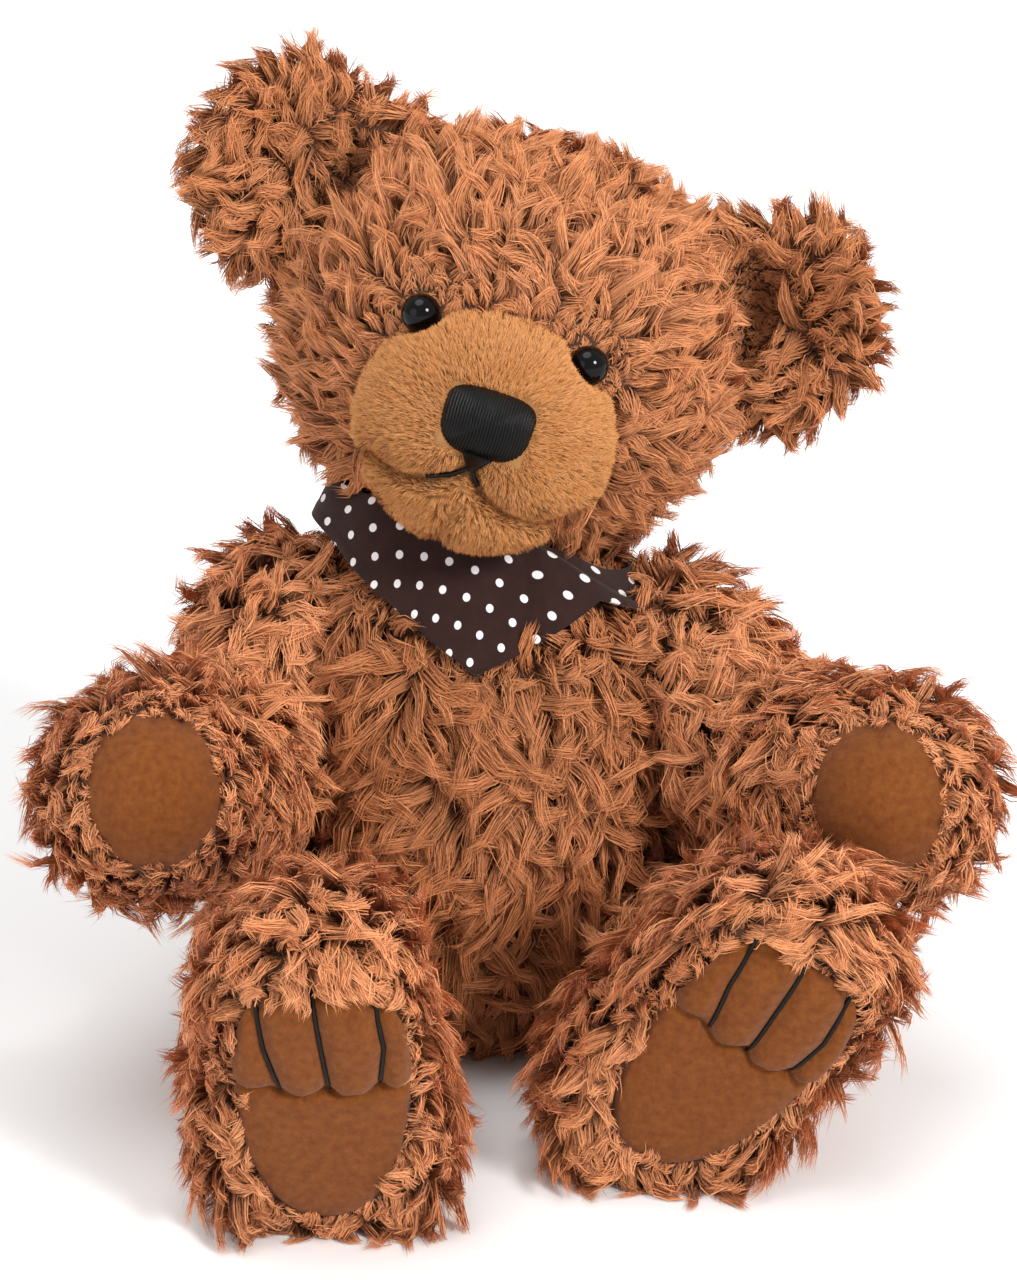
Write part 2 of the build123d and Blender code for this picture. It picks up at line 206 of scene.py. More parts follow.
def round_cone(p, first, second):
    """Distance to the smallest convex solid round two balls."""
    (a, ra), (b, rb) = first, second
    ba = b - a
    length = np.linalg.norm(ba)
    along = (p - a) @ ba / length
    across = np.sqrt(np.maximum(np.einsum("ij,ij->i", p - a, p - a) - along**2, 0))
    lean = (ra - rb) / length
    side = np.sqrt(1 - lean * lean)
    cone = across * side + along * lean - ra
    near = np.hypot(across, along) - ra
    far = np.hypot(across, along - length) - rb
    start = along * side - across * lean
    return np.where(start < 0, near, np.where(start > length * side, far, cone))


def chain(p, balls, blend=9.0):
    d = round_cone(p, balls[0], balls[1])
    for first, second in zip(balls[1:], balls[2:]):
        d = smooth_min(d, round_cone(p, first, second), blend)
    return d


def beyond(p, plane):
    """Height of points over a joint plane."""
    centre, axis = plane
    return (p - centre) @ axis


def above_floor(p, d):
    return smooth_max(d, JOINT_GAP - p[:, 2], 5.0)


def bare_torso(p):
    """The torso without its flat faces at the joints."""
    return chain(p, TORSO, TORSO_BLEND)


def torso_distance(p):
    d = bare_torso(p)
    for plane in PLANES.values():
        d = smooth_max(d, beyond(p, plane) + JOINT_GAP, JOINT_BLEND)
    return above_floor(p, d)


def limb_distance(name):
    def distance(p):
        d = smooth_max(chain(p, LIMBS[name]), JOINT_GAP - beyond(p, PLANES[name]), JOINT_BLEND)
        if name.startswith("leg"):
            centre, _, _, normal = SOLES[name]
            d = smooth_max(d, (p - centre) @ normal, 5.0)
        return above_floor(p, d)

    return distance


def sole_frame(balls):
    """A sole's middle, and its directions across, from heel to toe, and out."""
    heel, toe = balls[-2][0], balls[-1][0]
    along = unit(toe - heel)
    front = np.array((0, -1, -0.1))
    normal = unit(front - along * (front @ along))
    return (heel + toe) / 2 + normal * SOLE_OUT, np.cross(along, normal), along, normal


SOLES = {name: sole_frame(LIMBS[name]) for name in ("leg_right", "leg_left")}


def paw_frame(side):
    """A paw's middle, and its directions across, up and out of the pad."""
    normal = unit(PAW_FACE[side])
    across = unit(np.cross(normal, (0, 0, 1))) * -1
    return LIMBS[f"arm_{side}"][-1][0], across, np.cross(normal, across), normal


def head_distance(p):
    return smooth_max(round_cone(p, *HEAD_BALLS), JOINT_GAP - beyond(p, PLANES["head"]), JOINT_BLEND)


def near_path(xy, path):
    """Distance in a plane from points to a run of straight lines."""
    best = np.full(len(xy), 1e9)
    for start, end in zip(path[:-1], path[1:]):
        start, end = np.array(start, float), np.array(end, float)
        span = end - start
        t = clamp((xy - start) @ span / (span @ span))
        best = np.minimum(best, length_of(xy - start - t[:, None] * span))
    return best


# Folds pulled in by the mouth's stitches, as (right, up) in head axes
SMILE = [(-26, -35.5), (-18, -37.5), (-10, -37), (-0.5, -31.5), (4, -36), (10, -39.5), (19, -40.5), (27, -37)]
CHIN = [(-2.0, -43), (-3.0, -54)]


def muzzle_ball(p):
    """Distance to the muzzle's plain ellipsoid."""
    scaled = (in_head(p) - MUZZLE_CENTRE) / MUZZLE_RADII
    k0 = length_of(scaled)
    k1 = length_of(scaled / MUZZLE_RADII)
    return k0 * (k0 - 1) / np.maximum(k1, 1e-9)


def muzzle_distance(p):
    q = in_head(p)
    d = muzzle_ball(p)
    flat = q[:, [0, 2]]
    d += 4.2 * bell(near_path(flat, SMILE) / 3.0)
    d += 2.6 * bell(near_path(flat, CHIN) / 2.6)
    cheeks = np.exp(-(((np.abs(q[:, 0]) - 14) / 9) ** 2) - ((q[:, 2] + 30) / 8) ** 2)
    chin = np.exp(-((q[:, 0] / 13) ** 2) - ((q[:, 2] + 47) / 6) ** 2)
    return d - 1.8 * cheeks - 1.5 * chin


def ear_middle(side):
    return np.array((EARS[side], EAR_BACK, EAR_UP))


def ear_hollow(q, side):
    """How far outside the ear's hollow a point is, from the ear's middle in head axes."""
    middle = np.array((-np.sign(EARS[side]) * 13.5, 8.5, -3))
    return length_of((q - middle) / (0.85, 1.35, 1.55)) - 11.0


def outside_hollow(p, side):
    return ear_hollow(in_head(p) - ear_middle(side), side)


def ear_distance(side):
    """A thick round flap that cups forward."""
    centre = ear_middle(side)
    inward = -np.sign(EARS[side])

    def distance(p):
        q = in_head(p) - centre
        hollow = ear_hollow(q, side)
        q[:, 0] = ((q[:, 0] * inward - EAR_R) / EAR_WIDTH[side] + EAR_R) * inward
        q[:, 2] /= EAR_HEIGHT
        root = q[:, [0, 2]] - np.clip(q[:, 0] * inward, 0, 22)[:, None] * np.array((inward, -0.25))
        flat = length_of(root) - EAR_R
        curl = q[:, 1] + 0.24 * inward * q[:, 0] - 0.013 * (q[:, 0] ** 2 + q[:, 2] ** 2) + 4.0
        d = smooth_max(flat, np.abs(curl) - 7.0, 10.0)
        return smooth_max(d, -hollow, 4.0)

    return distance


def gradient(distance, p, step=0.25):
    g = np.empty_like(p)
    for axis in range(3):
        offset = np.zeros(3)
        offset[axis] = step
        g[:, axis] = distance(p + offset) - distance(p - offset)
    return unit(g)


# ---- meshes


def surface_net(distance, low, high, step):
    """Points and quads on the zero surface of a distance function."""
    low = np.asarray(low, float)
    counts = np.ceil((np.asarray(high) - low) / step).astype(int) + 1
    axes = [low[i] + step * np.arange(counts[i]) for i in range(3)]
    grid = np.stack(np.meshgrid(*axes, indexing="ij"), -1).reshape(-1, 3)
    inside = np.empty(len(grid), bool)
    for part in np.array_split(np.arange(len(grid)), max(1, len(grid) // 200000)):
        inside[part] = distance(grid[part]) < 0
    inside = inside.reshape(counts)
    corners = sum(
        inside[i : counts[0] - 1 + i, j : counts[1] - 1 + j, k : counts[2] - 1 + k].astype(int)
        for i in (0, 1)
        for j in (0, 1)
        for k in (0, 1)
    )
    mixed = (corners > 0) & (corners < 8)
    number = np.full(mixed.shape, -1)
    number[mixed] = np.arange(mixed.sum())
    points = low + (np.argwhere(mixed) + 0.5) * step
    quads = []
    for axis in range(3):
        u, v = (axis + 1) % 3, (axis + 2) % 3
        start = [slice(1, -1)] * 3
        end = [slice(1, -1)] * 3
        start[axis], end[axis] = slice(0, -1), slice(1, None)
        a, b = inside[tuple(start)], inside[tuple(end)]
        for leaving in (True, False):
            at = np.argwhere((a != b) & (a == leaving)) + 1
            at[:, axis] -= 1
            back_u, back_v = np.eye(3, dtype=int)[u], np.eye(3, dtype=int)[v]
            ring = [at - back_u - back_v, at - back_v, at, at - back_u]
            ids = np.stack([number[tuple(c.T)] for c in ring], 1)
            quads.append(ids if leaving else ids[:, ::-1])
    quads = np.vstack(quads)
    for _ in range(4):
        d = distance(points)
        points = points - np.clip(d, -step, step)[:, None] * gradient(distance, points)
    return points, quads


def shown(name, data):
    obj = bpy.data.objects.new(name, data)
    bpy.context.scene.collection.objects.link(obj)
    return obj


def link(name, mesh, body, materials, replaced=()):
    obj = shown(name, mesh)
    for material in materials:
        mesh.materials.append(material)
    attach(obj, body)
    if replaced:
        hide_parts(*replaced)
    return obj


def mesh_of(name, points, faces, smooth=True):
    mesh = bpy.data.meshes.new(name)
    mesh.from_pydata((np.asarray(points) * MM).tolist(), [], [list(map(int, f)) for f in faces])
    mesh.validate()
    if smooth:
        mesh.shade_smooth()
    return mesh


def pairs_of(x, y):
    """Two arrays as the rows of one list of points."""
    return np.stack((x, y), -1).reshape(-1, 2)


def grid_quads(rows, columns):
    """Quads between the points of an open grid."""
    ids = np.arange(rows * columns).reshape(rows, columns)
    return np.stack((ids[:-1, :-1], ids[1:, :-1], ids[1:, 1:], ids[:-1, 1:]), -1).reshape(-1, 4)


def ring_quads(rings, around):
    """Quads between closed rings of points, from the first ring outwards."""
    ids = np.arange((rings + 1) * around).reshape(rings + 1, around)
    after = np.roll(ids, -1, axis=1)
    return np.stack((ids[:-1], ids[1:], after[1:], after[:-1]), -1).reshape(-1, 4)


def write_uv(mesh, uv):
    """Flat coordinates per point, in dot pitches."""
    layer = mesh.uv_layers.new(name="flat")
    corners = np.empty(len(mesh.loops), np.int32)
    mesh.loops.foreach_get("vertex_index", corners)
    layer.data.foreach_set("uv", uv[corners].reshape(-1).astype(np.float32))


# ---- materials


def principled(name, colour, rough, **values):
    """A material and its shader, with plain values on the shader's own sockets."""
    material = bpy.data.materials.new(name)
    material.use_nodes = True
    shader = material.node_tree.nodes["Principled BSDF"]
    shader.inputs["Base Color"].default_value = (*colour, 1)
    shader.inputs["Roughness"].default_value = rough
    for socket, value in values.items():
        shader.inputs[socket.replace("_", " ")].default_value = value
    return material, shader


def join(source, output, target, socket):
    target.id_data.links.new(source.outputs[output], target.inputs[socket])


def add_node(material, kind, **values):
    """A shader node with its settings and inputs: plain values, or a node and its output to link."""
    node = material.node_tree.nodes.new("ShaderNode" + kind)
    for key, value in values.items():
        socket = key.replace("_", " ")
        if hasattr(node, key):
            setattr(node, key, value)
        elif isinstance(value, tuple) and isinstance(value[0], bpy.types.Node):
            join(*value, node, socket)
        else:
            node.inputs[socket].default_value = value
    return node


def add_bump(material, shader, coords, scale, detail, strength, distance, **values):
    grain = add_node(material, "TexNoise", Vector=(coords, "Object"), Scale=scale, Detail=detail, **values)
    lift = add_node(material, "Bump", Strength=strength, Distance=distance, Height=(grain, "Fac"))
    join(lift, "Normal", shader, "Normal")


def mottled(name, dark, light, rough, scale, bump=0.0, bump_scale=None, **values):
    """A material whose colour drifts between two tones, with a fine bump."""
    material, shader = principled(name, light, rough, **values)
    coords = add_node(material, "TexCoord")
    noise = add_node(material, "TexNoise", Vector=(coords, "Object"), Scale=scale, Detail=6.0, Roughness=0.6)
    ramp = add_node(material, "ValToRGB", Fac=(noise, "Fac"))
    for element, position, colour in zip(ramp.color_ramp.elements, (0.3, 0.72), (dark, light)):
        element.position = position
        element.color = (*colour, 1)
    join(ramp, "Color", shader, "Base Color")
    if bump:
        add_bump(material, shader, coords, bump_scale, 8.0, bump, 0.0004, Roughness=0.7)
    return material


def fur_colours(name, root, tip, shades):
    """One plain material per shade and per step from root to tip, the root steps darker as painted shade deep
    in the pile.
    """
    made = []
    for shade, tint in enumerate(shades):
        for step in range(FUR_STEPS):
            # Painted shade: each step's colour runs from the dark root colour, for the shade deep in the
            # pile, to the light tip colour.
            t = ((step + 0.5) / FUR_STEPS) ** 0.6
            colour = [(a * (1 - t) + b * t) * c for a, b, c in zip(root, tip, tint)]
            material, _ = principled(f"{name}_{shade}_{step}", colour, 0.6, Sheen_Weight=0.06,
                                     Sheen_Roughness=0.4, Specular_IOR_Level=0.18)
            made.append(material)
    return made


FUR_STEPS = 4
FUR_SHADES = [(0.96, 0.95, 0.94), (1.19, 1.18, 1.18), (0.72, 0.69, 0.66), (1.04, 0.98, 0.91)]
# In each plush below, the first colour is painted shade at the roots, and the colour brightens towards the
# tip.
PLUSH = fur_colours("plush", (0.15, 0.043, 0.014), (0.70, 0.285, 0.120), FUR_SHADES)
# Painted light: the limbs' plush is a lighter copy of the same pile, for the light that falls on the limbs.
PAINTED_LIGHT_LIMB_PLUSH = fur_colours("limb_plush", (0.20, 0.062, 0.022), (0.80, 0.340, 0.152), FUR_SHADES)
# Painted shade: the torso's plush is a darker copy of the same pile, for the shade on the chest and belly.
PAINTED_SHADE_TORSO_PLUSH = fur_colours("torso_plush", (0.13, 0.036, 0.011), (0.62, 0.242, 0.098), FUR_SHADES)
SHORT_SHADES = [(1.0, 1.0, 1.0), (1.12, 1.12, 1.1), (0.88, 0.85, 0.8), (1.0, 0.94, 0.84)]
SHORT = fur_colours("short_plush", (0.36, 0.145, 0.042), (0.70, 0.318, 0.115), SHORT_SHADES)
# The backing is real fabric, but its dark brown is painted shade for the gaps deep in the pile.
PAINTED_SHADE_BACKING = mottled("plush_backing_painted_shade", (0.045, 0.016, 0.007), (0.10, 0.038, 0.016), 0.9, 90.0)
SHORT_BACKING = mottled("short_plush_backing", (0.22, 0.095, 0.028), (0.34, 0.16, 0.05), 0.9, 120.0)
SUEDE = mottled("suede", (0.135, 0.035, 0.006), (0.215, 0.065, 0.012), 0.92, 480.0, 0.9, 1600.0,
                Sheen_Weight=0.12, Sheen_Roughness=0.45, Specular_IOR_Level=0.15)
THREAD = mottled("black_thread", (0.001, 0.001, 0.001), (0.004, 0.003, 0.003), 0.3, 500.0, 0.3, 2500.0,
                 Specular_IOR_Level=0.22)
EYE_GLOSS = mottled("eye_gloss", (0.001, 0.001, 0.001), (0.003, 0.002, 0.002), 0.04, 200.0,
                    Specular_IOR_Level=0.2)
STEEL = mottled("zinc_steel", (0.42, 0.43, 0.44), (0.66, 0.67, 0.69), 0.35, 400.0, 0.15, 2500.0, Metallic=1.0)
BOARD = mottled("hardboard", (0.13, 0.065, 0.028), (0.24, 0.13, 0.062), 0.75, 160.0, 0.3, 1800.0)
NYLON = mottled("washer_plastic", (0.02, 0.02, 0.022), (0.05, 0.05, 0.055), 0.45, 200.0, 0.1, 1500.0)
WADDING = mottled("stuffing_fibre", (0.62, 0.60, 0.56), (0.85, 0.84, 0.81), 0.95, 120.0, 0.8, 900.0,
                  Sheen_Weight=0.3)

# ---- fur


class Coat:
    """How a piece of plush grows: millimetres, radians and plain ratios."""

    def __init__(self, **values):
        self.length = 16.0
        self.spread = 0.22
        self.lock = 4.2
        self.density = 2.8
        self.width = 0.22
        self.curl = 1.5
        self.turns = 1.15
        self.bend = 0.9
        self.root_lean = 0.4
        self.tip_lean = 1.8
        self.gather = 0.7
        self.frizz = 0.5
        self.steps = 4
        self.swirl = 1.2
        self.scale = 18.0
        self.__dict__.update(values)


def scatter(rng, points, quads, count):
    """Random points spread evenly by area over a quad mesh."""
    tris = np.vstack((quads[:, [0, 1, 2]], quads[:, [0, 2, 3]]))
    a, b, c = (points[tris[:, i]] for i in range(3))
    area = length_of(np.cross(b - a, c - a))
    total = np.cumsum(area)
    pick = np.searchsorted(total, rng.random(count) * total[-1])
    u, v = rng.random((2, count, 1))
    over = (u + v) > 1
    u, v = np.where(over, 1 - u, u), np.where(over, 1 - v, v)
    return a[pick] + u * (b - a)[pick] + v * (c - a)[pick], total[-1] / 2


def thinned(rng, p, spacing):
    """One point in each cell of a grid, which spreads locks evenly."""
    cells = np.floor(p / spacing + rng.random(3)).astype(int)
    _, first = np.unique(cells, axis=0, return_index=True)
    return p[np.sort(first)]


def swirl(p, seed, scale=26.0, count=7):
    """A smooth random direction field."""
    rng = np.random.default_rng(seed)
    field = np.zeros_like(p)
    for _ in range(count):
        wave = unit(rng.normal(size=3)) / scale * rng.uniform(0.6, 1.8)
        field += unit(rng.normal(size=3)) * np.sin(p @ wave * 2 * pi + rng.uniform(0, 2 * pi))[:, None]
    return field / np.sqrt(count)


def nearest(centres, points):
    tree = KDTree(len(centres))
    for i, c in enumerate(centres):
        tree.insert(c, i)
    tree.balance()
    return np.array([tree.find(p)[1] for p in points])


def guides(rng, roots, normals, comb, coat, lengths):
    """The path of each lock's middle from its root, as offsets."""
    count = len(roots)
    steps = coat.steps
    tangent = unit(across_normal(comb, normals) + 1e-6)
    side = np.cross(normals, tangent)
    t = np.linspace(0, 1, steps + 1)[None, :, None]
    mid = (t[:, 1:] + t[:, :-1]) / 2
    root_lean = coat.root_lean * rng.uniform(0.3, 1.9, (count, 1, 1))
    tip_lean = coat.tip_lean * rng.uniform(0.72, 1.2, (count, 1, 1))
    angle = root_lean + (tip_lean - root_lean) * mid
    turn = coat.bend * rng.normal(0, 1, (count, 1, 1)) * mid
    lying = tangent[:, None] * np.cos(turn) + side[:, None] * np.sin(turn)
    heading = normals[:, None] * np.cos(angle) + lying * np.sin(angle)
    path = np.cumsum(heading * (lengths / steps)[:, None, None], axis=1)
    path = np.concatenate((np.zeros((count, 1, 3)), path), axis=1)
    phase = rng.uniform(0, 2 * pi, (count, 1, 1))
    turns = coat.turns * rng.uniform(0.6, 1.3, (count, 1, 1))
    size = coat.curl * rng.uniform(0.5, 1.3, (count, 1, 1)) * t**0.8
    size = size * np.minimum(1, 1.3 * lengths / coat.length)[:, None, None]
    across = np.sin(2 * pi * turns * t + phase) - np.sin(phase)
    over = np.cos(2 * pi * turns * t + phase) - np.cos(phase)
    path += size * (across * side[:, None] + 0.5 * over * normals[:, None])
    return path


def ribbons(paths, normals, widths, twist):
    """Points, shading normals and outward faces of thin tapering ribbons."""
    along = unit(np.gradient(paths, axis=1))
    flat = unit(np.cross(along, normals[:, None]))
    out = np.cross(flat, along)
    across = flat * np.cos(twist)[:, None, None] + out * np.sin(twist)[:, None, None]
    face = np.cross(across, along)
    steps = paths.shape[1] - 1
    taper = (1 - np.linspace(0, 1, steps + 1) ** 1.7)[None, :, None] * 0.82 + 0.18
    half = across * taper * widths[:, None, None]
    left = (paths - half)[:, :-1]
    right = (paths + half)[:, :-1]
    soft = 0.55 * face + 0.6 * normals[:, None]
    left_n = unit(soft - 0.5 * across)[:, :-1]
    right_n = unit(soft + 0.5 * across)[:, :-1]
    tip, tip_n = paths[:, -1:], unit(soft)[:, -1:]
    pairs = np.stack((left, right), 2).reshape(len(paths), -1, 3)
    pairs_n = np.stack((left_n, right_n), 2).reshape(len(paths), -1, 3)
    return np.concatenate((pairs, tip), 1), np.concatenate((pairs_n, tip_n), 1)


def ribbon_mesh(name, points, normals, shade):
    """One mesh from many ribbons, coloured by shade and by step from root to tip, the roots darker as painted
    shade.
    """
    count, each, _ = points.shape
    steps = (each - 1) // 2
    base = (np.arange(count) * each)[:, None]
    quads = np.stack([base + np.array((2 * j, 2 * j + 1, 2 * j + 3, 2 * j + 2)) for j in range(steps - 1)], 1)
    tips = base + np.array((2 * steps - 2, 2 * steps - 1, 2 * steps))
    loops = np.concatenate((quads.reshape(count, -1), tips), 1)
    starts = np.arange(steps) * 4
    starts = (np.arange(count) * loops.shape[1])[:, None] + starts[None]
    colour_step = np.minimum(np.arange(steps) * FUR_STEPS // steps, FUR_STEPS - 1)
    slots = shade[:, None] * FUR_STEPS + colour_step[None]
    mesh = bpy.data.meshes.new(name)
    mesh.vertices.add(count * each)
    mesh.vertices.foreach_set("co", (points.reshape(-1) * MM).astype(np.float32))
    mesh.loops.add(loops.size)
    mesh.loops.foreach_set("vertex_index", loops.reshape(-1).astype(np.int32))
    mesh.polygons.add(starts.size)
    mesh.polygons.foreach_set("loop_start", starts.reshape(-1).astype(np.int32))
    mesh.polygons.foreach_set("material_index", slots.reshape(-1).astype(np.int32))
    mesh.update(calc_edges=True)
    mesh.shade_smooth()
    mesh.normals_split_custom_set_from_vertices(normals.reshape(-1, 3).astype(np.float32))
    return mesh


def grow(name, body, skin, distance, comb, trim, coat, seed, colours, painted_shade=None):
    """Grows one body's fur and splits it into pieces of a fair size."""
    rng = np.random.default_rng(seed)
    points, quads = skin
    _, area = scatter(rng, points, quads, 1)
    thin = 1.0
    centres, _ = scatter(rng, points, quads, int(4 * area / coat.lock**2))
    centres = thinned(rng, centres, coat.lock)
    centres = centres[trim(centres) > 0.05]
    normals = gradient(distance, centres)
    wander = swirl(centres, seed + 1, coat.scale) + 0.35 * rng.normal(size=centres.shape)
    heading = unit(comb(centres)) + coat.swirl * wander
    lengths = coat.length * rng.normal(1, coat.spread, len(centres)).clip(0.6, 1.4) * trim(centres)
    lock_paths = guides(rng, centres, normals, heading, coat, lengths)
    lock_shade = (np.sin(swirl(centres, seed + 2, 14.0)[:, 0] * 5 + rng.normal(0, 0.8, len(centres))) + 1) * 2
    roots, _ = scatter(rng, points, quads, int(area * coat.density * thin))
    roots = roots[trim(roots) > 0.05]
    lock = nearest(centres, roots)
    count = len(roots)
    t = np.linspace(0, 1, coat.steps + 1)[None, :, None]
    short = np.minimum(1, trim(roots) / trim(centres)[lock])
    stretch = rng.uniform(0.8, 1.12, (count, 1, 1)) * short[:, None, None]
    away = (roots - centres[lock])[:, None]
    pull = coat.gather * t**1.6 * rng.uniform(0.75, 1.15, (count, 1, 1))
    stray = rng.random(count) < 0.12
    pull[stray] *= 0.25
    frizz = rng.normal(0, coat.frizz, (count, 2, 3)) * np.where(stray, 2.2, 1.0)[:, None, None]
    frizz *= np.sqrt(trim(roots))[:, None, None]
    wobble = frizz[:, :1] * np.sin(pi * t * 1.3) + frizz[:, 1:] * t**1.5
    paths = roots[:, None] + lock_paths[lock] * stretch - away * pull + wobble
    paths[..., 2] = np.clip(paths[..., 2], FLOOR_GAP, FUR_TOP)
    paths[..., 1] = np.minimum(paths[..., 1], FUR_BACK)
    root_normals = gradient(distance, roots)
    widths = coat.width * rng.uniform(0.7, 1.3, count) / np.sqrt(thin)
    ribbon, shading = ribbons(paths, root_normals, widths, rng.uniform(-1.0, 1.0, count))
    shade = (lock_shade[lock] + rng.normal(0, 0.8, count)).astype(int).clip(0, 3)
    # Painted shade: roots in an ear's hollow take the darkest tint, for the shade that falls in the hollow.
    if painted_shade:
        shade[painted_shade(roots)] = 2
    per_piece = int(PIECE_FACES / (2 * coat.steps - 1))
    order = np.argsort(roots @ np.array((0.3, 0.5, 0.8)), kind="stable")
    parts = np.array_split(order, int(np.ceil(count / per_piece)))
    for i, part in enumerate(parts):
        piece = f"fur_{name}_{i + 1}"
        link(piece, ribbon_mesh(piece, ribbon[part], shading[part], shade[part]), body, colours)


# ---- plush bodies


def clear_of_joints(p, planes, radii, edge=1.2, ramp=3.0):
    """0 on the round flat faces where two bodies touch, 1 away from them."""
    keep = np.ones(len(p))
    for plane, radius in zip(planes, radii):
        height = beyond(p, plane)
        radial = length_of(p - plane[0] - height[:, None] * plane[1])
        away = np.maximum((np.abs(height) - edge) / ramp, (radial - radius) / 8.0)
        keep = np.minimum(keep, clamp(away))
    return keep


def box_of(balls, margin=6.0):
    low = np.min([c - r for c, r in balls], axis=0) - margin
    high = np.max([c + r for c, r in balls], axis=0) + margin
    return low, high


def skin_piece(name, body, distance, box, replaced, step=SKIN_STEP, material=PAINTED_SHADE_BACKING):
    skin = surface_net(distance, *box, step)
    name = "skin_" + name
    obj = link(name, mesh_of(name, *skin), body, [material], [replaced])
    return skin


def falling(p):
    """Fur lies downwards and a little to the front."""
    return np.tile(np.array((0.0, -0.25, -1.0)), (len(p), 1))


def torso():
    skin = skin_piece("torso", "torso", torso_distance, box_of(TORSO), "torso_cover")

    def trim(p):
        keep = clear_of_joints(p, PLANES.values(), BARE_RADII)
        reach = 36.0 - 9.0 * clamp((p - NECK_CENTRE)[:, 0] / 20)
        under_scarf = np.clip((0.3 + scarf_room(p, reach)) / 7.0, 0.1, 1)
        for balls in LIMBS.values():
            keep = keep * np.clip(0.42 + chain(p, balls) / 22, 0.42, 1)
        return keep * under_scarf * np.where(p[:, 2] < 1.0, 0.0, 1.0)

    def comb(p):
        shoulder = clamp((np.abs((p - NECK_CENTRE) @ NECK_SIDE) - 26) / 10)
        near_neck = (shoulder * clamp((beyond(p, PLANES["head"]) + 18) / 14))[:, None]
        return falling(p) * (1 - near_neck) + 1.2 * near_neck * NECK_AXIS

    coat = Coat(length=17.0, swirl=1.6)
    # The torso grows in the darker copy of the plush: painted shade.
    grow("torso", "torso", skin, torso_distance, comb, trim, coat, 11, PAINTED_SHADE_TORSO_PLUSH)


def under_line(p, first, second):
    """How far in millimetres a point is below a line drawn across the chest."""
    edge = np.subtract(second, first)
    below = np.array((edge[1], -edge[0])) / np.hypot(*edge)
    return (p[:, [0, 2]] - NECK_CENTRE[[0, 2]] - first) @ below


def scarf_room(p, reach=FAR):
    """How far in millimetres a point is outside the neckerchief, or beyond its reach from the neck."""
    bib = np.maximum(under_line(p, SCARF_RIGHT, SCARF_TIP), under_line(p, SCARF_TIP, SCARF_LEFT))
    bib = np.where(p[:, 1] < NECK_CENTRE[1], bib, FAR)
    height = beyond(p, PLANES["head"])
    radial = length_of(p - NECK_CENTRE - height[:, None] * NECK_AXIS)
    return np.minimum(bib, np.maximum(-(height + SCARF_BAND), radial - reach))


def limb(name):
    kind, side = name.split("_")
    distance = limb_distance(name)
    balls = LIMBS[name]
    skin = skin_piece(name, name, distance, box_of(balls), f"{kind}_cover_{side}")
    middle, across, up, normal = SOLES[name] if kind == "leg" else paw_frame(side)

    def from_pad(p):
        """Distance outside the pad's outline, and the direction away from it."""
        q = p - middle
        x, y, z = q @ across, q @ up, q @ normal
        if kind == "leg":
            half = sole_half_width(y)
            y_over = np.maximum(np.abs(y) - SOLE_HALF_L + 14, 0) * np.sign(y)
            outside = np.hypot(np.maximum(np.abs(x) - half + 14, 0), y_over) - 14
            facing = z > -9
        else:
            outside = (np.hypot(x / PAW_PAD[0], y / PAW_PAD[1]) - 1) * PAW_PAD[0]
            facing = z > 0
        radial = unit(x[:, None] * across + 0.6 * y[:, None] * up)
        return np.where(facing, outside, FAR), radial

    def trim(p):
        keep = clear_of_joints(p, [PLANES[name]], [LIMB_FACE_R])
        outside, _ = from_pad(p)
        keep = keep * np.where(p[:, 2] < 0.8, 0.0, 1.0)
        keep = keep * np.clip(0.5 + bare_torso(p) / 25, 0.5, 1)
        return keep * clamp(outside + 2.9) * clamp(0.43 + outside / 18)

    def comb(p):
        outside, radial = from_pad(p)
        share = clamp(outside / 16)[:, None]
        down = falling(p) * 0.7 + unit(balls[-1][0] - balls[0][0]) * 0.8
        over = normal + 0.5 * radial + np.array((0, 0, -0.3))
        return (1 - share) * over + share * down

    coat = Coat(length=15.5, swirl=1.3, density=3.1)
    # The limbs grow in the lighter copy of the plush: painted light.
    grow(name, name, skin, distance, comb, trim, coat, 20 + sorted(LIMBS).index(name), PAINTED_LIGHT_LIMB_PLUSH)


def eye_centre(side):
    across = EYES[side] - np.sign(EYES[side]) * HEAD_HALF
    forward = np.sqrt(HEAD_R**2 - across**2 - EYE_UP**2)
    normal = unit(across * HEAD_RIGHT + forward * HEAD_FORWARD + EYE_UP * HEAD_UP)
    return head_point(np.sign(EYES[side]) * HEAD_HALF, 0, 0) + normal * (HEAD_R + EYE_PROUD)


def eye_gap(p, side):
    """How far outside an eye's ball a point is."""
    return length_of(p - eye_centre(side)) - EYE_R


def head():
    skin = skin_piece("head", "head", head_distance, box_of(HEAD_BALLS), "head_cover")
    muzzle_middle = head_point(*MUZZLE_CENTRE)

    def trim(p):
        keep = clear_of_joints(p, [PLANES["head"]], [LIMB_FACE_R], 1.0, 2.5)
        for side in EARS:
            keep = keep * clamp(0.22 + outside_hollow(p, side) / 10)
        muzzle = muzzle_distance(p)
        keep = keep * clamp((muzzle + 0.5) / 1.0) * clamp(0.42 + muzzle / 26)
        for side in EYES:
            keep = keep * clamp(0.12 + eye_gap(p, side) / 15)
        return keep

    def comb(p):
        away = unit(p - muzzle_middle)
        back = (in_head(p)[:, 1] < -5)[:, None]
        down = np.array((0, 0, -1.0))
        low = clamp(1 - beyond(p, PLANES["head"]) / 18)[:, None]
        return np.where(back, 0.5 * away + 0.8 * down, away + 0.25 * HEAD_UP) + 1.4 * low * down

    coat = Coat(length=13.5, curl=0.95, lock=4.0, density=3.3, width=0.21, bend=0.95, root_lean=0.45,
                tip_lean=1.5, swirl=1.2, gather=0.68, frizz=0.36, scale=15.0)
    grow("head", "head", skin, head_distance, comb, trim, coat, 31, PLUSH)


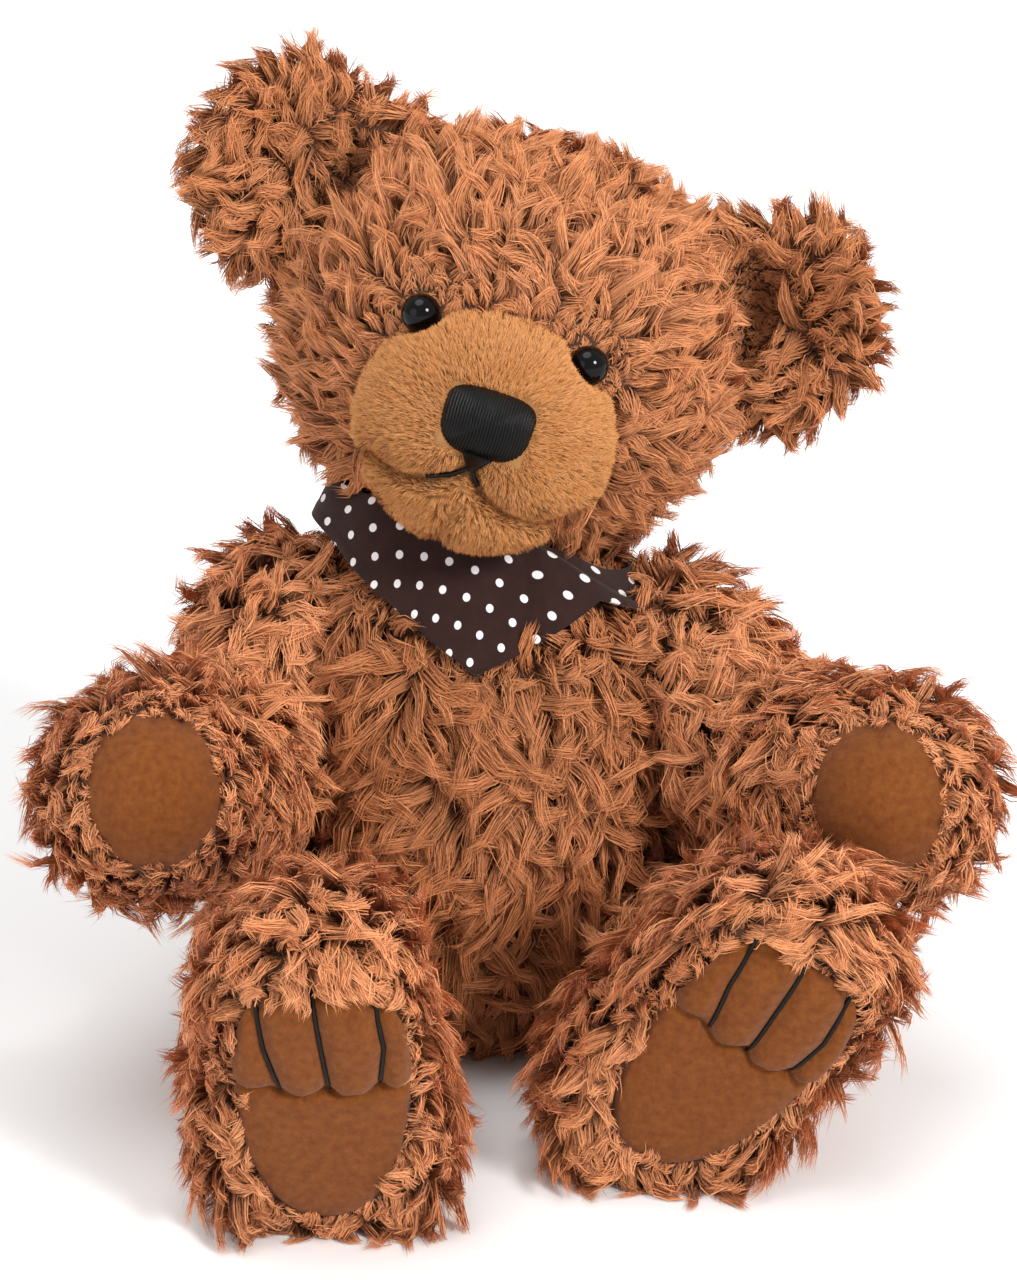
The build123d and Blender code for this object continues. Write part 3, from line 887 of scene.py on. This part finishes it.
def ears():
    for i, side in enumerate(EARS):
        distance = ear_distance(side)
        centre = head_point(EARS[side], EAR_BACK, EAR_UP)
        name = f"ear_{side}"
        skin = skin_piece(name, "head", distance, (centre - 50, centre + 50), name, EAR_STEP)

        def trim(p):
            hollow = outside_hollow(p, side)
            return clamp(head_distance(p) / 2.0) * np.clip(0.22 + (hollow - 0.5) / 7, 0.22, 1)

        # Painted shade: the plush in the ear's hollow grows in the darkest tint.
        def painted_shade(p):
            return outside_hollow(p, side) < 2.0

        def comb(p):
            q = in_head(p) - ear_middle(side)
            radial = q[:, :1] * HEAD_RIGHT + q[:, 2:] * HEAD_UP
            return unit(radial) + 0.15 * HEAD_FORWARD - 0.35 * HEAD_UP

        coat = Coat(length=12.0, density=3.2, width=0.21, curl=1.3, tip_lean=1.6, swirl=1.15)
        grow(name, "head", skin, distance, comb, trim, coat, 41 + i, PLUSH, painted_shade)


def muzzle():
    centre = head_point(*MUZZLE_CENTRE)

    def distance(p):
        return smooth_max(muzzle_distance(p), -(head_distance(p) + 3.0), 2.0)

    skin = skin_piece("muzzle", "head", distance, (centre - 40, centre + 40), "muzzle_cover", MUZZLE_STEP,
                      SHORT_BACKING)
    nose_middle = np.array((0.0, NOSE_UP))

    def trim(p):
        q = in_head(p)
        flat = q[:, [0, 2]]
        from_nose = np.abs(flat - nose_middle)
        nose_gap = np.maximum(from_nose[:, 0] - NOSE_HALF_W, from_nose[:, 1] - NOSE_HALF_H)
        keep = np.where(q[:, 1] > 55, clamp((nose_gap + 1.2) / 1.5), 1)
        mouth_gap = np.minimum(near_path(flat, MOUTH_LEFT), near_path(flat, MOUTH_RIGHT))
        mouth_gap = np.minimum(mouth_gap, near_path(flat, MOUTH_DROP) - 1.5)
        keep = keep * clamp(0.15 + mouth_gap / 4) * clamp(0.55 + near_path(flat, SMILE) / 7)
        for side in EYES:
            keep = keep * clamp(0.15 + eye_gap(p, side) / 5)
        return keep * clamp((head_distance(p) + 2.0) / 2.0)

    def comb(p):
        q = in_head(p)
        return unit(q[:, :1] * HEAD_RIGHT + (q[:, 2:] - NOSE_UP) * HEAD_UP) + 0.15 * HEAD_UP

    coat = Coat(length=2.8, curl=0.1, turns=0.7, lock=1.5, density=10.5, width=0.105, bend=0.3, root_lean=0.2,
                tip_lean=0.6, swirl=0.3, gather=0.12, frizz=0.1, steps=3, spread=0.08, scale=12.0)
    grow("muzzle", "head", skin, distance, comb, trim, coat, 51, SHORT)


# ---- face


MOUTH_DROP = [(0.0, -27.0), (-0.5, -31.5)]
MOUTH_LEFT = [(-0.5, -31.0), (-5.0, -34.4), (-11.0, -37.0)]
MOUTH_RIGHT = [(-0.5, -31.0), (1.0, -33.4), (2.6, -35.4)]


def onto(distance, origins, direction):
    """Moves points along a direction until they meet a surface."""
    travelled = np.zeros(len(origins))
    for _ in range(60):
        d = distance(origins + travelled[:, None] * direction)
        travelled += np.clip(d * 0.8, -1, 40.0)
    return origins + travelled[:, None] * direction


def onto_face(distance, flat):
    """Points on the face, from how far right and up they are in head axes."""
    start = HEAD_CENTRE + flat[:, :1] * HEAD_RIGHT + flat[:, 1:] * HEAD_UP + FACE_START * HEAD_FORWARD
    return onto(distance, start, -HEAD_FORWARD)


def nose():
    """A satin-stitched rounded pad, its threads upright."""
    n_across, n_up = 220, 96
    uu, vv = np.meshgrid(np.linspace(-1, 1, n_across), np.linspace(-1, 1, n_up), indexing="ij")
    edge = 3.2
    round_off = (np.abs(uu) ** edge + np.abs(vv) ** edge) ** (1 / edge)
    inside = np.maximum(np.abs(uu), np.abs(vv))
    scale = np.where(round_off > 1e-6, inside / np.maximum(round_off, 1e-6), 1)
    x = uu * scale * NOSE_HALF_W * (1 + 0.06 * vv)
    y = vv * scale * NOSE_HALF_H
    flat = pairs_of(x, y)
    shape = clamp(1 - inside.reshape(-1) ** 2.6) ** 0.45
    threads = 0.42 * np.abs(np.sin(pi * flat[:, 0] / 0.8 + 0.6 * np.sin(flat[:, 1] * 0.5)))
    lift = (NOSE_T * shape + threads * clamp(shape * 3))[:, None] - 1.0
    points = onto_face(muzzle_ball, flat + (0, NOSE_UP)) + lift * HEAD_FORWARD
    mesh = mesh_of("nose_stitched", points, grid_quads(n_across, n_up)[:, ::-1])
    link("nose_stitched", mesh, "head", [THREAD], ["nose"])


def dense(path, count):
    """Evenly spaced points along each straight line of a path."""
    path = np.array(path)
    t = np.linspace(0, 1, count)[:, None]
    return np.vstack([start + (end - start) * t for start, end in zip(path[:-1], path[1:])])


def tube(path, radius):
    """A round thread through points, drawn as a curve and turned into a mesh."""
    curve = bpy.data.curves.new("thread", "CURVE")
    curve.dimensions = "3D"
    spline = curve.splines.new("NURBS")
    spline.points.add(len(path) - 1)
    for point, at in zip(spline.points, path):
        point.co = (*(at * MM), 1)
    spline.order_u = 3
    spline.use_endpoint_u = True
    curve.bevel_depth = radius * MM
    curve.bevel_resolution = 3
    curve.use_fill_caps = True
    holder = bpy.data.objects.new("thread", curve)
    mesh = bpy.data.meshes.new_from_object(holder)
    bpy.data.objects.remove(holder)
    return mesh


def stitches(name, meshes, body, replaced):
    """Several threads as one piece."""
    points, faces, base = [], [], 0
    for mesh in meshes:
        co = np.empty(len(mesh.vertices) * 3)
        mesh.vertices.foreach_get("co", co)
        points.append(co.reshape(-1, 3) / MM)
        faces += [[base + i for i in poly.vertices] for poly in mesh.polygons]
        base += len(mesh.vertices)
    link(name, mesh_of(name, np.vstack(points), faces), body, [THREAD], [replaced])


def mouth():
    """Black threads from the nose down into the smile."""
    threads = []
    for path, radius in ((MOUTH_DROP, 0.9), (MOUTH_LEFT, 0.62), (MOUTH_RIGHT, 0.62)):
        threads.append(tube(onto_face(muzzle_distance, dense(path, 6)) + 2.0 * HEAD_FORWARD, radius))
    # The small triangle of stitches under the nose
    for share in np.linspace(-1, 1, 9):
        path = dense([(share * 3.6, -27.4), (-0.4 + share * 0.3, -32.0)], 5)
        threads.append(tube(onto_face(muzzle_distance, path) + 2.6 * HEAD_FORWARD, 0.55))
    stitches("mouth_threads", threads, "head", "mouth_stitching")


def eyes():
    rings, around = 24, 40
    lats = [pi * i / rings for i in range(rings + 1)]
    lons = [2 * pi * j / around for j in range(around)]
    ball = np.array([(sin(a) * cos(b), sin(a) * sin(b), cos(a)) for a in lats for b in lons])
    for side in EYES:
        name = f"eye_ball_{side}"
        mesh = mesh_of(name, eye_centre(side) + EYE_R * ball, ring_quads(rings, around))
        link(name, mesh, "head", [EYE_GLOSS], [f"eye_{side}"])


# ---- pads


def sole_half_width(y):
    """Half the sole's width along its length: broad at the toes, narrow at the heel."""
    t = clamp((np.asarray(y, float) + SOLE_HALF_L) / (2 * SOLE_HALF_L))
    return 17.0 + 6.5 * np.sin(clamp(t * 1.35) * pi / 2) - 1.0 * t


CLAWS = [((-16.5, 36.0), (-14.5, 22.0), (-10.5, 8.0)), ((-2.0, 38.0), (0.0, 22.0), (2.0, 7.5)),
         ((13.5, 36.0), (15.8, 22.0), (14.5, 9.0))]
TOE_CREASE = [(-24, 9.5), (-19, 7.2), (-13.5, 8.4), (-10, 6.4), (-5, 5.4), (0.5, 7.8), (5, 5.6), (10, 6.0),
              (14.5, 8.6), (19, 7.2), (24, 9.8)]


def sole_height(x, y):
    """How far the stuffed sole stands out of its plane."""
    half = sole_half_width(y)
    edge = 1 - clamp(np.hypot(x / half, np.maximum(np.abs(y) - 18, 0) / (SOLE_HALF_L - 18))) ** 3
    height = 3.4 * np.sqrt(clamp(edge))
    flat = pairs_of(x, y)
    over = flat[:, 1] - np.interp(flat[:, 0], *zip(*TOE_CREASE))
    toes = 2.6 * np.sqrt(1 - (1 - clamp(over / 8)) ** 2) - 1.3 * bell(over / 1.5)
    valley = np.zeros(len(flat))
    for claw in CLAWS:
        valley = np.maximum(valley, 2.0 * bell(near_path(flat, claw) / 2.4))
    return height + (toes - valley * clamp(over / 2 + 1)).reshape(np.shape(x))


def suede_pad(kind, side, body, points, rings, around):
    name = f"{kind}_suede_{side}"
    mesh = mesh_of(name, points, ring_quads(rings, around))
    link(name, mesh, body, [SUEDE], [f"{kind}_pad_{side}"])


def polar(rings, around):
    """Radii as a column, and angles, of a disc of points."""
    return np.linspace(0, 1, rings + 1)[:, None], np.linspace(0, 2 * pi, around, endpoint=False)


def sole_pad(name):
    side = name.split("_")[1]
    middle, across, up, normal = SOLES[name]
    rings, around = 90, 240
    r, angle = polar(rings, around)
    cx, cy = np.cos(angle), np.sin(angle)
    corner = 2.5 + 1.3 * clamp(cy * 2)
    norm = (np.abs(cx) ** corner + np.abs(cy) ** corner) ** (1 / corner)
    y = r * (cy / norm) * SOLE_HALF_L
    x = r * (cx / norm) * sole_half_width(y)
    z = sole_height(x, y) - 1.6 * clamp((r - 0.93) / 0.07) ** 2
    points = middle + x[..., None] * across + y[..., None] * up + (z + 0.3)[..., None] * normal
    suede_pad("sole", side, name, points.reshape(-1, 3), rings, around)
    threads = []
    for claw in CLAWS:
        line = dense(claw, 7)
        height = sole_height(line[:, 0], line[:, 1]) + 0.5
        path = middle + line[:, :1] * across + line[:, 1:] * up + height[:, None] * normal
        threads.append(tube(path, 0.62))
    stitches(f"claw_threads_{side}", threads, name, f"claw_stitching_{side}")


def paw_pad(side):
    name = f"arm_{side}"
    middle, across, up, normal = paw_frame(side)
    rings, around = 40, 120
    r, angle = polar(rings, around)
    x = (r * np.cos(angle) * PAW_PAD[0]).reshape(-1, 1)
    y = (r * np.sin(angle) * PAW_PAD[1]).reshape(-1, 1)
    on_skin = onto(limb_distance(name), middle + x * across + y * up + 45 * normal, -normal)
    r = np.repeat(r, around, 1).reshape(-1, 1)
    lift = 1.2 * np.sqrt(clamp(1 - r**4)) - 1.0 * clamp((r - 0.93) / 0.07) ** 2 + 0.3
    suede_pad("paw", side, name, on_skin + lift * normal, rings, around)


# ---- neckerchief


def cotton():
    """Dark brown cotton printed with off-white dots, laid out by the cloth's own flat coordinates."""
    material, shader = principled("spotted_cotton", (0.03, 0.011, 0.008), 0.85, Sheen_Weight=0.15,
                                  Specular_IOR_Level=0.15)
    coords = add_node(material, "TexCoord")
    turn = add_node(material, "Mapping", Vector=(coords, "UV"), Rotation=(0, 0, radians(4)),
                    Location=(0.35, 0.2, 0))
    cell = add_node(material, "VectorMath", operation="FRACTION", Vector=(turn, "Vector"))
    middle = add_node(material, "VectorMath", operation="SUBTRACT", Vector=(cell, "Vector"))
    middle.inputs[1].default_value = (0.5, 0.5, 0)
    reach = add_node(material, "VectorMath", operation="LENGTH", Vector=(middle, "Vector"))
    dot = add_node(material, "MapRange", Value=(reach, "Value"), From_Min=DOT_R / DOT_PITCH * 1.06,
                   From_Max=DOT_R / DOT_PITCH * 0.94)
    weave = add_node(material, "TexNoise", Vector=(coords, "Object"), Scale=260.0, Detail=4.0)
    ground = add_node(material, "Mix", data_type="RGBA", Factor=(weave, "Fac"),
                      A=(0.016, 0.0055, 0.0045, 1), B=(0.036, 0.0135, 0.0105, 1))
    printed = add_node(material, "Mix", data_type="RGBA", Factor=(dot, "Result"), A=(ground, "Result"),
                       B=(0.80, 0.76, 0.76, 1))
    join(printed, "Result", shader, "Base Color")
    add_bump(material, shader, coords, 1600.0, 3.0, 0.35, 0.0003)
    return material


COTTON = cotton()


def torso_out(points):
    """The direction out of the torso at each point of a grid."""
    return gradient(bare_torso, points.reshape(-1, 3)).reshape(points.shape)


def stood_off(p, out, offset):
    """Points moved along out until they stand at an offset from the torso."""
    for _ in range(12):
        p = p + (offset - bare_torso(p))[:, None] * out * 0.8
    return p


def draped(starts, heading, offset, length):
    """Paths that hang down from points on the fur, kept at their offset from the skin."""
    p = starts.copy()
    path = [p.copy()]
    for _ in range(int(length / DRAPE_STEP)):
        p = p + unit(across_normal(heading, gradient(bare_torso, p))) * DRAPE_STEP
        p = p - (bare_torso(p) - offset)[:, None] * gradient(bare_torso, p)
        path.append(p.copy())
    return np.array(path)


def cloth_mesh(name, points, flat, thickness):
    """A sheet from a grid of points: two faces and a rim, with its flat coordinates as UVs."""
    rows, columns, _ = points.shape
    across, along = np.gradient(points, axis=1), np.gradient(points, axis=0)
    out = unit(np.cross(across, along))
    if np.mean(np.einsum("ijk,ijk->ij", out, torso_out(points))) < 0:
        out = -out
    half = thickness[..., None] / 2
    both = np.concatenate(((points + out * half).reshape(-1, 3), (points - out * half).reshape(-1, 3)))
    ids = np.arange(rows * columns).reshape(rows, columns)
    top = grid_quads(rows, columns)
    a, b, c = both[top[:, 0]], both[top[:, 1]], both[top[:, 2]]
    if np.mean(np.einsum("ij,ij->i", np.cross(b - a, c - a), out[:-1, :-1].reshape(-1, 3))) < 0:
        top = top[:, ::-1]
    border = np.concatenate((ids[0, :-1], ids[:-1, -1], ids[-1, :0:-1], ids[:0:-1, 0]))
    after = np.roll(border, -1)
    shift = rows * columns
    rim = np.stack((border, after, after + shift, border + shift), -1)
    faces = np.vstack((top, top[:, ::-1] + shift, rim))
    mesh = mesh_of(name, both, faces)
    write_uv(mesh, np.concatenate((flat.reshape(-1, 2), flat.reshape(-1, 2))) / DOT_PITCH)
    return mesh


def neckerchief():
    """A band round the neck and the point on the chest, cut along the outline, with its knot and ends."""
    columns, rows = 400, 60
    angle = np.linspace(-pi, pi, columns)
    out = np.cos(angle)[:, None] * NECK_FRONT + np.sin(angle)[:, None] * NECK_SIDE
    offset = 4.0 + 4.5 * bell((angle + 1.35) / 0.5) + 1.5 * bell((angle - 1.2) / 0.4)
    starts = stood_off(NECK_CENTRE - 2.5 * NECK_AXIS + 25 * out, out, offset)
    heading = np.tile(unit(-NECK_AXIS + np.array((0, 0, -1.0))), (columns, 1))
    paths = draped(starts, heading, offset, 62.0)
    gone = scarf_room(paths.reshape(-1, 3)).reshape(paths.shape[:2])
    past = gone > 0
    first = np.where(past.any(0), past.argmax(0), len(paths) - 1)
    first = np.maximum(first, 1)
    before = gone[first - 1, np.arange(columns)]
    here = gone[first, np.arange(columns)]
    length = (first - 1 + clamp(before / (before - here))) * DRAPE_STEP
    at = np.linspace(0, 1, rows)[:, None] * length[None]
    whole = np.clip((at / DRAPE_STEP).astype(int), 0, len(paths) - 2)
    part = (at / DRAPE_STEP - whole)[..., None]
    column = np.arange(columns)[None].repeat(rows, 0)
    points = paths[whole, column] * (1 - part) + paths[whole + 1, column] * part
    to_edge = length[None] - at
    folds = 1.1 * np.sin(8 * angle + 1.2) * np.exp(-at / 16) + 0.8 * np.sin(3.1 * angle + 0.6 + at / 22)
    turned = 9 * (angle - 0.62) / 0.55
    lapped = 1.7 / (1 + np.exp(-(at - turned) / 0.45)) * clamp((angle - 0.55) / 0.1)
    lapped = lapped * clamp((1.75 - angle) / 0.25)
    edge_lift = 0.9 * np.exp(-to_edge / 5) * np.sin(angle * 7)
    points += (folds + lapped + edge_lift)[..., None] * torso_out(points)
    hem = CLOTH_T + HEM_T / (1 + np.exp((to_edge - 3.4) / 0.25))
    slant = 42 + at
    flat = np.stack((slant * np.sin(0.7 * angle), -slant * np.cos(0.7 * angle)), -1)
    mesh = cloth_mesh("neckerchief_cloth", points, flat, hem)
    cloth = link("neckerchief_cloth", mesh, "torso", [COTTON], ["neckerchief"])
    tails = [tail(turn) for turn in (-0.5, 0.55)]
    knot = knot_piece()


def back_point(side, down, offset):
    """A point on the fur behind the neck: to the side of the middle and below the neck's plane."""
    out = unit(-NECK_FRONT * np.cos(side) + NECK_SIDE * np.sin(side))
    return stood_off((NECK_CENTRE - down * NECK_AXIS + 25 * out)[None], out, offset)


def tail(turn):
    """One loose end of the neckerchief, hanging down the back from the knot."""
    start = back_point(0.12 * np.sign(turn), 9.0, 7.0)
    heading = np.array((0, 0, -1.0)) * np.cos(turn) + NECK_SIDE * np.sin(turn)
    middle = draped(start, heading[None], np.array([6.5]), 34.0)[:, 0]
    t = np.linspace(0, 1, len(middle))
    out = gradient(bare_torso, middle)
    across = unit(np.cross(unit(np.gradient(middle, axis=0)), out))
    half = 3.0 + 6.0 * np.sin(clamp(t * 1.6) * pi / 2) - 8.6 * clamp((t - 0.42) / 0.58) ** 1.2
    sweep = np.linspace(-1, 1, 21)[None, :, None]
    points = middle[:, None] + sweep * half[:, None, None] * across[:, None]
    ripple = 1.3 * np.sin(sweep * 3.2 + t[:, None, None] * 4 + turn * 5)
    points = points + (ripple + 1.2 * np.sin(t * 5)[:, None, None]) * out[:, None]
    flat = np.stack((sweep[..., 0] * half[:, None] + 100 * turn, np.repeat(t[:, None] * 34, 21, 1)), -1)
    name = "neckerchief_end_right" if turn < 0 else "neckerchief_end_left"
    mesh = cloth_mesh(name, points, flat, np.full(points.shape[:2], END_T))
    return link(name, mesh, "torso", [COTTON])


def knot_piece():
    """The knot: the cloth wrapped once round itself."""
    centre = back_point(0.0, 8.0, 6.5)[0]
    out = gradient(bare_torso, centre[None])[0]
    up = unit(NECK_AXIS - (NECK_AXIS @ out) * out)
    across = np.cross(up, out)
    lon, lat = np.meshgrid(np.linspace(0, 2 * pi, 64, endpoint=False), np.linspace(0, pi, 33), indexing="ij")
    crumple = 1 + 0.07 * np.sin(5 * lat + 2 * np.sin(lon)) + 0.05 * np.sin(3 * lon + 4 * lat)
    x, y, z = 8.0 * np.cos(lat), 5.6 * np.sin(lat) * np.cos(lon), 4.6 * np.sin(lat) * np.sin(lon)
    pinch = 1 - 0.22 * bell(x / 2.2)
    offsets = x[..., None] * across + (y * pinch)[..., None] * up + z[..., None] * out
    points = centre + crumple[..., None] * offsets
    ids = np.arange(64 * 33).reshape(64, 33)
    nxt = np.roll(ids, -1, axis=0)
    quads = np.stack((ids[:, :-1], ids[:, 1:], nxt[:, 1:], nxt[:, :-1]), -1).reshape(-1, 4)
    mesh = mesh_of("neckerchief_knot", points.reshape(-1, 3), quads)
    write_uv(mesh, pairs_of(lat * 7, lon * 5) / DOT_PITCH)
    return link("neckerchief_knot", mesh, "torso", [COTTON])


# ---- inside


def wadding(name, body, distance, low, high, planes, disc_r):
    """Loose fibre filling, with a pocket at each joint disc."""

    def filled(p):
        lumps = 1.1 * np.sin(p[:, 0] * 0.55) * np.sin(p[:, 1] * 0.47 + 1) * np.sin(p[:, 2] * 0.5)
        d = distance(p) + FILL_DEPTH + lumps
        for (centre, axis), radius in zip(planes, disc_r):
            along = (p - centre) @ axis
            radial = length_of(p - centre - along[:, None] * axis)
            pocket = np.maximum(radial - radius - 2.0, np.abs(along) - 8.0)
            bore = np.maximum(radial - 8.0, np.abs(along) - 14.0)
            d = np.maximum(d, -np.minimum(pocket, bore))
        return d

    mesh = mesh_of(name, *surface_net(filled, low, high, FILL_STEP))
    link(name, mesh, body, [WADDING], [name.replace("_fill", "_stuffing")])


def hardware():
    """Steel, hardboard and plastic for the parts that are kept as they were drawn."""
    for name, obj in frame["nodes"].items():
        if obj.hide_render:
            continue
        material = BOARD if "disc" in name else NYLON if name == "eye_washers" else STEEL
        obj.data.materials.clear()
        obj.data.materials.append(material)


# ---- stage


def aimed(name, data, place, direction):
    """A light or a camera at a place, looking along a direction."""
    holder = shown(name, data)
    holder.location = place
    holder.rotation_mode = "QUATERNION"
    holder.rotation_quaternion = direction.to_track_quat("-Z", "Y")
    return holder


def stage():
    """Pale floor, soft lights and the camera."""
    size = 40.0
    points = [(-size, -size, 0), (size, -size, 0), (size, size, 0), (-size, size, 0)]
    mesh = mesh_of("floor", np.array(points) / MM, [(0, 1, 2, 3)], smooth=False)
    floor = shown("floor", mesh)
    floor.location.z = -0.0002
    mesh.materials.append(principled("floor_white", (0.9, 0.9, 0.9), 0.9)[0])
    world = bpy.data.worlds.new("studio")
    world.use_nodes = True
    world.node_tree.nodes["Background"].inputs["Color"].default_value = (1, 1, 1, 1)
    world.node_tree.nodes["Background"].inputs["Strength"].default_value = 0.66
    bpy.context.scene.world = world
    target = Vector((-0.003, 0.05, 0.12))
    for name, place, spread, power in (
        ("key", (0.95, -1.0, 1.0), 16, 2.7),
        ("fill", (-1.1, -1.0, 0.6), 40, 0.45),
        ("top", (-0.2, -0.1, 1.4), 40, 1.2),
    ):
        light = bpy.data.lights.new(name, "SUN")
        light.angle = radians(spread)
        light.energy = power
        aimed(name, light, Vector(place), target - Vector(place))
    camera = bpy.data.cameras.new("camera")
    elevation = radians(21)
    aim = Vector(tuple((np.array((0, 0, 110.0)) + SHIFT) * MM))
    back = Vector((0, -cos(elevation), sin(elevation)))
    holder = aimed("camera", camera, aim + back * 1.3, -back)
    camera.lens = 130.6
    camera.sensor_width = 36
    camera.clip_start, camera.clip_end = 0.05, 20
    bpy.context.scene.camera = holder
    bpy.context.scene.view_settings.view_transform = "Standard"


torso()
for limb_name in LIMBS:
    limb(limb_name)
head()
ears()
muzzle()
nose()
mouth()
eyes()
for leg_name in SOLES:
    sole_pad(leg_name)
for paw_side in ("right", "left"):
    paw_pad(paw_side)
neckerchief()
wadding("torso_fill", "torso", torso_distance, *box_of(TORSO), PLANES.values(), POCKET_RADII)
wadding("head_fill", "head", head_distance, HEAD_CENTRE - 62, HEAD_CENTRE + 62, [PLANES["head"]], [20])
for (limb_name, limb_balls), pocket in zip(LIMBS.items(), POCKET_RADII):
    wadding(limb_name.replace("_", "_fill_"), limb_name, limb_distance(limb_name), *box_of(limb_balls),
            [PLANES[limb_name]], [pocket])
hardware()
stage()
